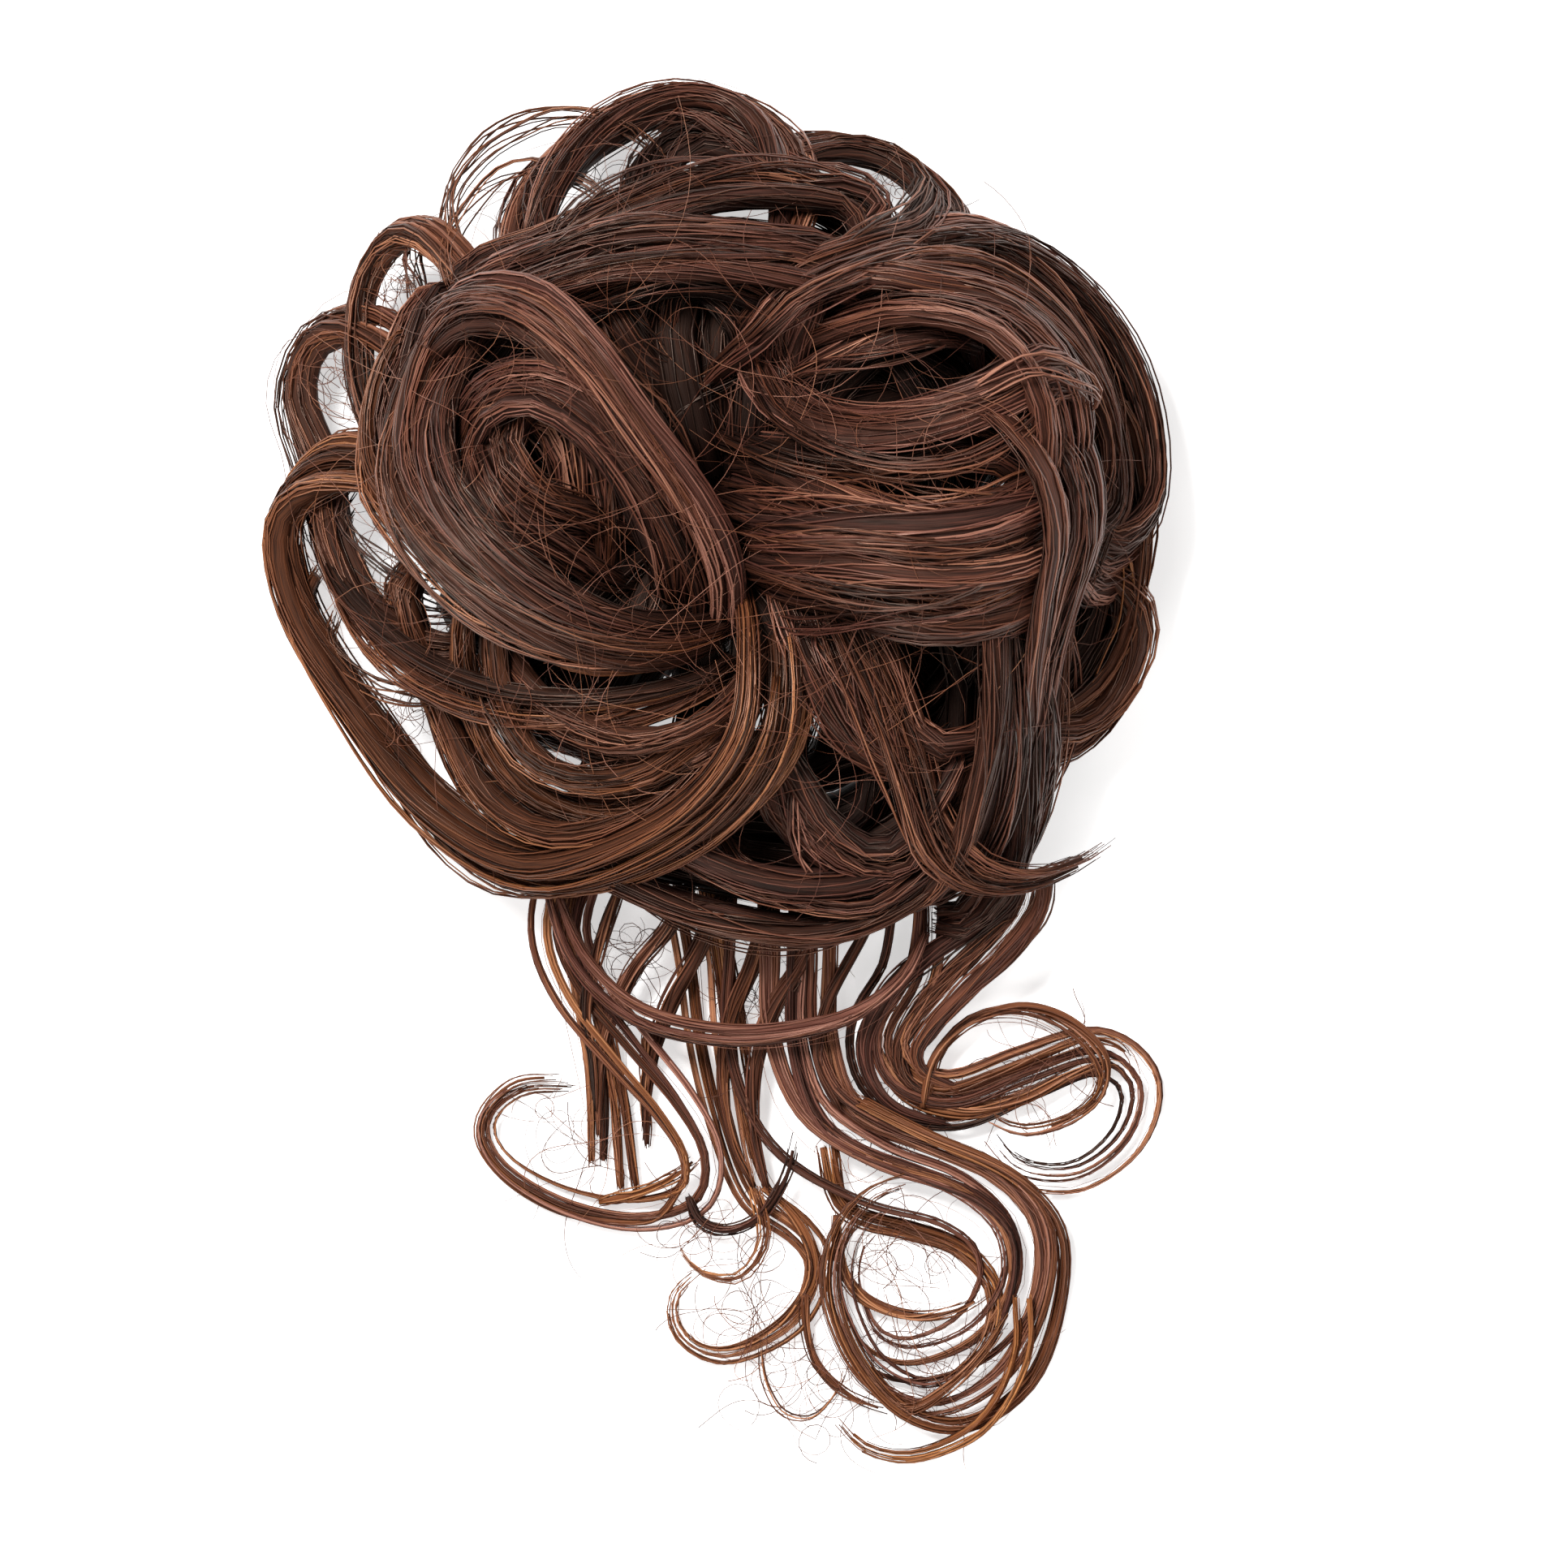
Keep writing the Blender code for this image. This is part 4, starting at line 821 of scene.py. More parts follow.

# Broad locks low in the bun, seen only between the ones above, set dark as painted shade in the hollows
underLook = {"broad": 1.5, "thick": 1.2, "strands": 40, "tone": -0.30, "companions": 0, "parts": 2,
             "partWidth": 0.52, "weave": 0.3, "step": 1.8}
fillLook = {**underLook, "broad": 2.0, "parts": 3}
underHair = {
    "rightRing": dict(underLook, route=[
        (-10, 55, 33), (15, 60, 28), (40, 50, 28), (60, 33, 32), (70, 12, 34), (68, -15, 34), (55, -36, 32),
        (40, -50, 30), (15, -60, 30)]),
    "innerRing": dict(underLook, route=[
        (-5, 45, 43), (20, 42, 40), (43, 30, 42), (52, 10, 46), (50, -10, 46), (40, -30, 42),
        (25, -42, 40)]),
    "frontRing": dict(underLook, route=[
        (-35, -45, 34), (-15, -58, 30), (8, -68, 28), (28, -66, 28), (45, -55, 30), (57, -38, 34),
        (62, -20, 38)]),
    "frontLow": dict(underLook, broad=1.2, route=[
        (2, -74, 26), (22, -76, 22), (40, -68, 24), (55, -55, 26), (68, -36, 26)]),
    "rightLow": dict(underLook, broad=1.2, route=[
        (30, 58, 34), (55, 50, 34), (72, 36, 32), (82, 16, 30), (84, -4, 28), (76, -24, 26), (66, -42, 26),
        (56, -62, 26)]),
    "sideLow": dict(underLook, broad=1.3, route=[
        (76, 4, 26), (85, -12, 18), (84, -28, 16), (76, -42, 20), (62, -50, 26)]),
    "leftInner": dict(underLook, broad=1.2, route=[
        (-30, 48, 40), (-45, 36, 42), (-54, 16, 42), (-52, -6, 40), (-40, -24, 40), (-20, -38, 42)]),
    "topInner": dict(underLook, broad=1.2, route=[
        (-44, 40, 36), (-28, 52, 34), (-5, 60, 34), (18, 58, 36), (34, 46, 42)]),
    "fillFront": dict(fillLook, strands=60, route=[
        (26, -26, 40), (38, -38, 36), (42, -52, 30), (36, -66, 26), (24, -76, 24)]),
    "fillSide": dict(underLook, broad=1.6, route=[
        (46, -16, 44), (55, -30, 38), (58, -46, 32), (56, -62, 26)]),
    "fillRight": dict(fillLook, strands=60, route=[
        (56, 54, 30), (74, 38, 28), (83, 18, 26), (84, -2, 26), (78, -18, 28)]),
    "fillBowl": dict(fillLook, strands=50, route=[
        (20, 44, 36), (36, 40, 38), (50, 32, 40), (58, 20, 42), (58, 6, 44)]),
    "fillBowlLow": dict(underLook, route=[
        (16, 30, 42), (30, 30, 42), (42, 26, 43), (52, 16, 44)]),
    "fillBrow": dict(underLook, broad=1.3, route=[
        (-64, 34, 40), (-52, 38, 43), (-38, 36, 45), (-27, 28, 45), (-20, 16, 45)]),
    "fillCentre": dict(fillLook, strands=50, route=[
        (-20, 30, 40), (-8, 16, 42), (2, 4, 43), (6, -10, 43), (4, -26, 42)]),
    "fillTop": dict(underLook, broad=1.3, route=[
        (-4, 70, 30), (12, 70, 30), (28, 64, 30), (42, 56, 32)]),
    "fillLow": dict(underLook, broad=1.3, route=[
        (-24, -74, 22), (-4, -80, 20), (16, -84, 20), (36, -82, 20)]),
}
bunPiece("under_hair", 18, underHair)

# Thin locks and wisps that lie over the others
wispLook = {"broad": 0.3, "thick": 0.6, "strands": 12, "clumps": 3, "core": 0, "hiddenSide": 1.0,
            "stray": 0.2, "companions": 0, "root": 0.8, "end": 0.5, "parts": 1, "step": 0.6}
thinLook = {**wispLook, "broad": 0.5, "strands": 26, "clumps": 5, "companions": 1, "step": 0.9,
            "core": 0.75, "hiddenSide": 0.5}
wispHair = {
    "topWispHigh": dict(wispLook, broad=0.2, strands=7, warm=0.5, route=[
        (-59, 60, 36), (-58.5, 70, 30), (-55, 76, 27), (-50, 82, 24), (-42, 86, 22), (-33, 87, 22),
        (-25, 86, 24), (-14, 80, 32)]),
    "topWispMiddle": dict(wispLook, broad=0.2, strands=6, warm=0.4, route=[
        (-57, 62, 38), (-56, 70, 32), (-50, 78, 28), (-42, 83, 26), (-33, 86, 26), (-20, 84, 30)]),
    "topWispLow": dict(wispLook, broad=0.2, strands=8, warm=0.3, route=[
        (-58, 52, 42), (-57, 60, 38), (-50, 70, 34), (-45, 74, 32), (-38, 75, 32), (-27, 70, 38)]),
    "archBranch": dict(thinLook, route=[
        (-6, 87, 24), (5, 80, 30), (12, 74, 36), (20, 70, 44), (30, 70, 46), (37, 65, 46), (33, 57, 52)]),
    "bandBetween": dict(thinLook, route=[
        (-50, 50, 60), (-35, 55, 68), (-20, 58.5, 72), (-5, 59, 72), (10, 58, 70), (25, 57, 62)]),
    "bandEnd": dict(thinLook, route=[
        (45, 55, 62), (30, 50, 72), (18, 44, 76), (10, 36, 72), (0, 28, 60)]),
    "leftInnerStrand": dict(wispLook, route=[
        (-66, 58, 28), (-65.5, 50, 26), (-64, 42, 28), (-65, 34, 34)]),
    "gapStrandOne": dict(wispLook, broad=0.2, strands=6, tone=-0.1, route=[
        (-82, -2, 28), (-73, -11, 30), (-63, -17, 36), (-52, -19, 46)]),
    "gapStrandTwo": dict(wispLook, broad=0.2, strands=6, tone=-0.1, route=[
        (-83, -6, 26), (-74, -15, 30), (-64, -20.5, 34), (-53, -22, 44)]),
    "gapStrandThree": dict(wispLook, broad=0.2, strands=5, tone=-0.1, route=[
        (-84, -10, 26), (-76, -18, 28), (-65, -23.5, 34), (-54, -25, 44)]),
    "thinCross": dict(wispLook, strands=10, warm=0.7, route=[
        (-85, -30, 24), (-76, -38.5, 28), (-66, -41, 32), (-52, -40, 44), (-38, -42, 58)]),
    "browWisp": dict(wispLook, strands=14, tone=0.08, route=[
        (-60, 42, 66), (-52, 44, 80), (-42, 42, 93), (-33, 36, 98), (-26, 28, 99), (-20, 20, 98),
        (-13, 10, 96), (-6, 0, 88), (-1, -12, 76), (1, -22, 60)]),
    "swirlEdge": dict(thinLook, strands=30, warm=0.6, route=[
        (-70, 35, 44), (-75, 20, 44), (-74, 5, 50), (-65, -5, 62), (-52, -18, 72), (-40, -28, 78),
        (-25, -34, 78), (-10, -33, 70)]),
    # lighter tone: a painted highlight on the fold of the tip
    "foldedTip": dict(wispLook, tone=0.22, route=[
        (58, 24, 90), (68, 29, 93), (76, 27.5, 89), (82, 23.5, 78)]),
    "rightSheet": dict(thinLook, broad=1.6, strands=80, clumps=12, core=0.85, route=[
        (30, 51, 54), (52, 55.5, 51), (71, 46, 46), (83, 31, 41), (89, 12, 38), (88.5, -3, 38),
        (80, -12, 44)]),
    "rollCover": dict(thinLook, broad=1.2, strands=60, clumps=9, parts=3, thick=0.5, weave=0.5, route=[
        (66, 20, 80), (75, 10, 80), (78, -5, 77), (75, -19, 71), (72, -34, 62), (70, -50, 50)]),
    # the dimple locks' darker tones are painted shade in the hollow they lie in
    "dimpleOne": dict(thinLook, tone=-0.1, route=[
        (-22, 44, 62), (-15, 32, 59), (-4, 20, 54), (4, 6, 48)]),
    "dimpleTwo": dict(thinLook, tone=-0.16, route=[
        (-8, 48, 60), (-10, 34, 55), (-6, 20, 51), (0, 8, 47)]),
    "dimpleThree": dict(thinLook, tone=-0.12, route=[
        (14, 38, 60), (6, 31, 58), (-4, 25, 55), (-14, 13, 55)]),
    "dimpleFour": dict(thinLook, tone=-0.14, route=[
        (0, 46, 60), (7, 34, 57), (7, 19, 54), (2, 4, 48)]),
    "dimpleFive": dict(thinLook, tone=-0.05, route=[
        (-26, 34, 66), (-16, 22, 64), (-8, 8, 60), (-2, -8, 54)]),
    "dropOne": dict(thinLook, route=[
        (20, -22, 60), (27, -38, 65), (33, -48, 62), (40, -54, 58), (48, -57, 54)]),
    "dropTwo": dict(wispLook, strands=14, route=[
        (28, -24, 64), (33, -40, 66), (38, -50, 62), (45, -56, 54)]),
    "dropThree": dict(wispLook, strands=14, tone=0.06, route=[
        (35, -24, 66), (40, -40, 65), (44, -50, 60), (46, -60, 52)]),
    "sideOrange": dict(wispLook, strands=16, warm=0.75, route=[
        (90, -12, 30), (90, -24, 28), (86, -32, 27), (80, -42, 28), (70, -48, 34)]),
    "sideEdge": dict(thinLook, broad=0.7, strands=36, clumps=6, warm=0.3, route=[
        (90, 22, 28), (93.5, 10, 26), (94, -4, 25), (92.5, -17, 25), (90, -29, 25), (83, -40, 27),
        (72, -47, 34)]),
    "lowCurve": dict(thinLook, route=[
        (15, -56, 54), (20, -71, 50), (30, -79, 46), (42, -79, 45), (48, -70, 48)]),
    "bowlUpper": dict(thinLook, route=[
        (6, -79, 44), (20, -86, 42), (34, -87.5, 41), (46, -81, 41), (54, -72, 40)]),
    "orangeOuter": dict(thinLook, warm=0.75, route=[
        (-53, -18, 56), (-54, -36, 54), (-48, -52, 50), (-38, -63, 50), (-24, -68, 54), (-8, -65, 58),
        (6, -56, 64)]),
    "rimOuter": dict(thinLook, warm=0.6, route=[
        (-90, -20, 20), (-83, -34, 17), (-72, -53, 17), (-60, -71, 18), (-47, -81, 22), (-33, -83, 30),
        (-18, -79, 42), (-4, -71, 54)]),
    "middleSheet": dict(thinLook, broad=0.9, strands=44, clumps=7, core=0.7, route=[
        (3, -2, 58), (14, -5, 76), (30, -8.5, 90), (47, -10, 96), (62, -7, 91), (74, 0, 78)]),
}
bunPiece("wisp_hair", 19, wispHair)

# Short loops of hair sewn side by side round the band. Each route goes out from the band, up and
# back over the knot: how far out, as a share of the way to the bun's edge, or to the middle where
# it is negative, how many degrees ahead, and the rise. Over the tail's roots a loop has no foot
rootLoops = {
    "count": 13, "noFoot": (236, 312), "bandRadius": 0.0255, "bandTop": 0.006,
    "foot": [(0.08, 0, 0.02), (0.30, 4, 0.05)],
    "arch": [(0.40, 10, 0.20), (0.30, 18, 0.40), (0.06, 24, 0.51), (-0.41, 26, 0.49), (-0.82, 26, 0.42)],
    # the loops' dark tone is painted shade, for the hollow over the knot
    "lock": {"broad": 1.35, "thick": 1.3, "root": 0.8, "end": 0.8, "strands": 30, "tone": -0.26,
             "hiddenSide": 1.0, "companions": 0, "parts": 2, "partWidth": 0.52, "weave": 0.3, "step": 1.7},
}


def rootRoute(turn):
    bandRadius, top = rootLoops["bandRadius"], rootLoops["bandTop"]
    overTail = rootLoops["noFoot"][0] < turn < rootLoops["noFoot"][1]
    points = []
    for out, ahead, rise in rootLoops["arch"] if overTail else rootLoops["foot"] + rootLoops["arch"]:
        angle = math.radians(turn + ahead)
        radius = bandRadius + out * (bun["radius"] - bandRadius if out > 0 else bandRadius)
        height = top + rise * (bun["height"] - top)
        points.append((radius * math.cos(angle), radius * math.sin(angle), height))
    return points


def makeRootHair():
    rng = np.random.default_rng(17)
    bundles = []
    for i in range(rootLoops["count"]):
        route = rootRoute(360 * i / rootLoops["count"])
        bundles += lockBundles(rootLoops["lock"], route, "bun", rng)
    addPiece("root_hair", bundles, hairFinishes, ["bun_loops"])


makeRootHair()

# Looks that the curls below the nape share: a main fall, a thinner loop and a straight end
fallLook = {"broad": 1.3, "thick": 1.1, "core": 0.7, "free": True}
loopLook = {"root": 1.0, "taper": 0.4, "clumps": 4, "core": 0.6, "free": True}
straightLook = {"thick": 0.9, "root": 0.9, "end": 0.7, "taper": 0.5, "warm": 0.5, "core": 0.6, "clumps": 4}

# The main fall of hair, which swings right and ends in the large nested curls
lowerCurl = {
    "mainFall": dict(fallLook, broad=1.7, root=0.7, end=0.15, taper=0.35, strands=75, warm=0.15, route=[
        (8, -50, 6.2), (11, -64, 3.8), (13, -80, 2.4), (13, -98, 1.9), (13, -116, 1.2), (20, -134, 1.2),
        (36, -144.5, 1.2), (53, -150, 1.2), (64, -159, 0.9), (66, -172, 0.5), (58, -184, 0.1),
        (44, -189.5, 0), (34, -186, 0), (29.5, -177, 0), (28.5, -169, 0), (31, -161, 0.2),
        (38, -156, 0.4)]),
    "mainFallOuter": dict(fallLook, root=0.8, end=0.15, taper=0.35, strands=55, warm=0.2, route=[
        (19, -62, 3.2), (22.5, -80, 2.3), (22.5, -98, 1.9), (23, -118, 1.2), (29, -134, 1.2),
        (46, -142, 1.2), (62, -149, 1.2), (71, -160, 0.9), (70, -176, 0.5), (62, -191, 0), (48, -198, 0),
        (35, -192, 0.8), (28, -180, 0.9), (26.2, -169, 0.9), (29, -159, 0.8), (36, -152, 0.9),
        (46, -149, 1.1)]),
    "outerLoop": dict(loopLook, broad=0.5, thick=0.9, end=0.4, strands=24, warm=0.45, route=[
        (30, -130, 1.9), (47, -139, 1.9), (66, -148, 1.6), (76.5, -160, 0.8), (76.5, -177, 0),
        (70, -194, 0), (56, -203.5, 0), (42, -200, 0.6), (31, -187, 1.3), (26.5, -173, 1), (28.5, -160, 1),
        (35, -152, 1.3), (44, -148, 1.6)]),
    "orangeLoop": dict(loopLook, broad=0.55, thick=0.8, end=0.4, strands=22, warm=0.85, route=[
        (26, -140, 0.7), (30, -154, 0.3), (43, -159, 0.1), (55, -164, 0.1), (62, -174, 0.2),
        (59, -186, 0.9), (49, -195, 0.9)]),
    "bottomWisp": dict(loopLook, broad=0.35, thick=0.7, end=0.8, strands=14, clumps=3, core=0.7,
        warm=0.9, route=[
        (68, -174, 1.2), (68, -188, 0.8), (60, -203, 0.9), (46, -210.5, 0), (34, -209, 0), (26, -201, 0)]),
}
tailPiece("lower_curl", 21, lowerCurl, "tail_lower_curl")

# The lock that turns out to the right, with its curl and thin ring
rightCurl = {
    "rightFall": dict(fallLook, root=0.9, end=0.2, taper=0.3, strands=60, warm=0.2, route=[
        (33, -49, 6.2), (40, -64, 3.8), (46, -82, 2.4), (45, -102, 1.7), (38, -116, 1.1), (41, -126, 0.7),
        (53, -130, 0.4), (69, -124.5, 0.2), (85, -120, 0), (94.5, -127, 0), (92, -139, 0), (81, -147.5, 0),
        (68, -146.5, 0), (60, -138, 0)]),
    "rightSecond": dict(broad=0.6, thick=0.9, root=0.8, taper=0.5, strands=20, clumps=4, core=0.6, warm=0.4,
        route=[(39, -120, 0.4), (48, -133, 0), (61, -133, 0), (75, -127, 0.2), (88, -122.5, 0.3)]),
    "rightCircle": dict(broad=0.35, thick=0.7, root=1, end=0.7, taper=0.4, strands=11, clumps=3, core=0,
        warm=0.5, route=[
        (47, -130, 1), (50, -120, 1), (58, -112.5, 0.9), (70, -111.5, 0.9), (81, -117.5, 1.1),
        (86, -127, 0.9), (80, -134.5, 0.5), (69, -137.5, 0.5), (61, -134.5, 0.9)]),
}
tailPiece("right_curl", 22, rightCurl, "tail_right_curl")

# The brown and dark locks in the middle, with a small curl and a thin ring
centreCurl = {
    "brownFall": dict(thick=0.9, root=0.9, end=0.15, taper=0.25, strands=50, free=True, warm=0.6, core=0.7,
        clumps=7, gather=0.75, route=[
        (-5, -49, 6), (-6, -64, 3.6), (-6, -80, 2), (-3, -100, 1), (-1, -118, 0.1), (3, -136, 0),
        (9, -152, 0.1), (19, -160, 0.1), (23.5, -168, 0), (18, -181, 0), (3, -188.5, 0), (-7.5, -184, 0),
        (-9, -175, 0), (-2, -168, 0.3)]),
    "darkFall": dict(broad=0.7, thick=0.8, root=0.9, end=0.4, taper=0.3, strands=30, free=True, warm=0.2,
        core=0.6, clumps=5, route=[
        (-2, -66, 1.6), (0, -90, 0.8), (3, -110, 0.2), (5.5, -125, 0.2), (7.5, -140, 0.3),
        (10, -153, 0.8)]),
    "smallCircle": dict(broad=0.35, thick=0.7, root=1, taper=0.3, strands=9, clumps=3, core=0, warm=0.7,
        free=True, route=[
        (9, -150, 1.2), (11.5, -162, 0.9), (6, -171, 0.6), (-3, -170, 0.7), (-8, -164, 0.2)]),
}
tailPiece("centre_curl", 23, centreCurl, "tail_centre_curl")

# The lock at the left that turns back into a wide curl, and the straight ends beside it
leftCurl = {
    "leftLock": dict(fallLook, root=0.8, end=0.12, taper=0.2, strands=60, warm=0.15, gather=0.9, route=[
        (-18, -47, 6.2), (-24, -61, 3.9), (-30, -76, 2.4), (-34.5, -92, 1.8), (-30, -106, 1.4),
        (-19, -120, 1.5), (-9, -132, 1.5), (-3, -143, 1.4), (-5, -153, 0.6), (-18, -156.5, 0),
        (-34, -153, 0), (-47, -145, 0), (-50.5, -136, 0), (-43, -129, 0), (-31, -128.5, 0)]),
    "straightOuter": dict(straightLook, broad=0.55, strands=24, route=[
        (-26, -68, 2.7), (-33.5, -90, 1.5), (-30, -106, 0.9), (-26.5, -126, 0.1), (-25.6, -146, 0)]),
    "straightInner": dict(straightLook, broad=0.6, strands=26, route=[
        (-25, -70, 2.7), (-32, -90, 1.6), (-26, -108, 1), (-21, -128, 0.1), (-18.7, -152, 0)]),
}
tailPiece("left_curl", 24, leftCurl, "tail_left_curl")

# The thin lock that crosses the neck of the tail
neckWrap = {
    "neckWrap": dict(broad=0.55, thick=0.9, taper=0.7, strands=34, clumps=6, route=[
        (-36, -82, 4), (-29, -99, 3.4), (-16, -111, 3), (3, -115.5, 3), (20, -114.5, 3), (32, -111, 3),
        (42, -103, 3.3), (47, -93, 3.6)]),
}
tailPiece("neck_wrap_hair", 25, neckWrap, "neck_wrap")

# Thin locks at the nape and the finer rings round the main curls
neckLook = {**wispLook, "broad": 0.45, "strands": 15, "warm": 0.25, "stray": 0.05, "core": 0.75,
            "hiddenSide": 0.6, "tone": -0.06, "end": 0.3, "taper": 0.5}
ringLook = {**wispLook, "strands": 8, "free": True, "warm": 0.6, "end": 0.8, "core": 0.7,
            "hiddenSide": 0.6}
tailWisps = {
    "neckEdge": dict(neckLook, broad=1.5, thick=1, strands=60, clumps=9, warm=0.1, parts=3, core=0.8,
        partWidth=0.4, route=[
        (70, -80, 4.2), (68, -88, 3.6), (61, -96, 3), (53, -103, 2.4), (44, -112, 1.8), (40, -120, 1.2),
        (43, -128, 0.8), (54, -133, 0.5)]),
    "neckOne": dict(neckLook, route=[
        (-4, -80, 3.2), (-10, -92, 2.4), (-18, -102, 1.7), (-23.5, -114, 1.2), (-25.5, -126, 0.6),
        (-25.8, -140, 0.4)]),
    "neckTwo": dict(neckLook, route=[
        (4, -82, 3), (-3, -97, 2), (-10, -110, 1.3), (-14, -122, 0.7), (-15.2, -132, 0.4),
        (-15.1, -142, 0.2)]),
    "neckThree": dict(neckLook, route=[
        (14, -84, 3), (9, -100, 2), (4, -112, 1.4), (2, -126, 0.8), (4, -140, 0.6), (9, -151, 0.5)]),
    "neckFour": dict(neckLook, route=[
        (27, -84, 3), (21, -98, 2.3), (13, -111, 1.8), (9, -124, 1.4), (9, -138, 1), (12, -152, 0.8)]),
    "neckFive": dict(neckLook, broad=0.3, strands=10, route=[
        (-20, -82, 3.2), (-25, -96, 2.6), (-28.5, -110, 1.9), (-27, -122, 1.2), (-26.2, -134, 0.6)]),
    "neckSix": dict(neckLook, broad=0.3, strands=10, route=[
        (38, -86, 3), (31, -98, 2.5), (25, -110, 2), (23, -122, 1.8), (28, -133, 1.7)]),
    "straightThin": dict(ringLook, strands=6, route=[
        (-15, -116, 1), (-15.3, -128, 0.4), (-15, -143, 0)]),
    "shortOrange": dict(ringLook, warm=0.95, route=[
        (-26, -154, 0.2), (-16, -151.5, 0.5), (-8, -147.5, 0.8), (-3, -143, 1)]),
    "rightInner": dict(ringLook, strands=12, route=[
        (34, -116, 1.2), (42, -129.5, 0.8), (55, -134, 0.6), (68, -131, 0.6), (80, -125, 0.6),
        (89, -122.5, 0.6), (93, -127, 0.4)]),
    "rightUpper": dict(ringLook, route=[
        (40, -122, 0.8), (50, -128.5, 0.8), (62, -125, 0.8), (74, -120.5, 0.8), (84, -117.5, 0.7),
        (91, -120, 0.6), (93.5, -126, 0.4)]),
    "rightCircleTwo": dict(ringLook, strands=5, route=[
        (46, -134, 0.9), (48.5, -122, 1.2), (56, -114, 1), (68, -110, 1), (79, -113, 1.2), (87, -121, 1.3),
        (86, -130, 0.9), (78, -136, 0.6), (66, -139, 0.7)]),
    "darkRing": dict(ringLook, tone=-0.15, warm=0.1, route=[
        (-6, -152, 1.4), (-3, -158, 1), (3, -160, 0.9), (10, -157, 1), (16, -148, 1.4), (18, -138, 1.8)]),
    "innerRing": dict(ringLook, route=[
        (27, -156, 0.8), (27.5, -164, 0.5), (30, -172, 0.4), (36, -177, 0.3), (45, -179.5, 0.3),
        (55, -177.5, 0.6), (62, -173, 1)]),
    "crossRing": dict(ringLook, strands=10, route=[
        (29, -180, 0.4), (30, -186, 0.5), (36, -195, 0.6), (43, -200, 0.9), (52, -195, 1), (60, -187, 1.1),
        (66, -178, 1.3)]),
    "lowRing": dict(ringLook, strands=5, route=[
        (20, -174, 0.4), (20.5, -182, 0.2), (23, -190, 0.2), (30, -197, 0.2), (40, -201, 0.3)]),
    "faintWisp": dict(ringLook, strands=3, core=0, broad=0.15, route=[
        (10, -186, 0.2), (11, -194, 0.1), (15, -201, 0), (22, -202, 0), (28, -195, 0.1), (30, -186, 0.3)]),
    "centreRingThin": dict(ringLook, strands=6, warm=0.8, route=[
        (10, -150, 0.8), (17, -156, 0.5), (21.3, -163, 0.4), (22, -171, 0.2), (17, -179, 0.1),
        (9, -184.5, 0.1), (1, -186.5, 0.1), (-5, -184.5, 0.1), (-7.5, -179, 0.2)]),
    "leftRingThin": dict(ringLook, strands=5, route=[
        (-7, -150, 1), (-13, -157.5, 0.3), (-24, -158, 0.1), (-35, -155.5, 0.1), (-46, -149, 0.1),
        (-52, -141, 0.1), (-51.5, -134, 0.1), (-45, -127.5, 0.1), (-37, -126.2, 0.1), (-29, -127, 0.1)]),
}
tailPiece("tail_wisps", 26, tailWisps, "tail_lower_curl")
print("locks done")

# Loose single hairs, which lie over the locks and cross the gaps
flyaways = {"overBun": 240, "alongLocks": 130, "inGaps": 400, "alongCurls": 90, "radius": 0.00006,
            "gapRadius": 0.00007, "points": 18, "longPoints": 26, "loopRadius": 0.015,
            "lengths": (0.02, 0.07), "lifts": (0.0003, 0.003), "within": 0.85, "farthest": 0.97,
            "gapLengths": (1.5, 3.5), "bunLevels": (0.10, 0.30), "tailLevels": (0.001, 0.006)}
# Middles of the gaps as in a route, and how far round each the hairs lie, in metres
gapPlaces = [(-25, 70, 0.006), (-70, 48, 0.005), (-82, 27, 0.005), (-87, -3, 0.004), (-68, -16, 0.006),
             (-67, -44, 0.005), (-30, -40, 0.005), (36, 70, 0.004), (-20, -102, 0.007), (10, -108, 0.008),
             (-30, -140, 0.009), (-5, -162, 0.006), (6, -178, 0.008), (42, -168, 0.009),
             (46, -190, 0.010), (72, -128, 0.008), (38, -135, 0.008), (20, -195, 0.008)]


def surfaceTree(node):
    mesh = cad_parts[node].data
    return BVHTree.FromPolygons([v.co for v in mesh.vertices], [p.vertices for p in mesh.polygons])


def curlyPlan(rng, middle, length, curl, points):
    # a plan curve that bends one way on the whole and wavers on its way
    t = np.linspace(0, 1, points)
    heading = rng.uniform(0, 2 * math.pi) + curl * t + wander(rng, 1, t, 0.6, 2.0)[0]
    plan = np.cumsum(np.stack([np.cos(heading), np.sin(heading)], axis=1), axis=0) * length / points
    return plan - plan.mean(axis=0) + middle


def restingHeights(tree, plan, lift):
    # the height of a hair that bridges the hollows between locks, as if drawn tight
    heights = []
    for x, y in plan:
        hit = tree.ray_cast(Vector((x, y, 0.2)), Vector((0, 0, -1)))[0]
        heights.append(hit.z if hit else np.nan)
    heights = np.array(heights)
    known = ~np.isnan(heights)
    if known.sum() < 2:
        return None
    k = np.arange(len(heights))
    heights = np.interp(k, k[known], heights[known])
    for _ in range(8):
        padded = np.pad(heights, 1, mode="edge")
        heights = np.maximum(heights, (padded[:-2] + padded[2:]) / 2)
    padded = np.pad(heights, 2, mode="edge")
    smooth = (padded[:-4] + padded[1:-3] + padded[2:-2] + padded[3:-1] + padded[4:]) / 5
    return smooth + lift * np.sin(math.pi * np.linspace(0.1, 0.95, len(heights)))


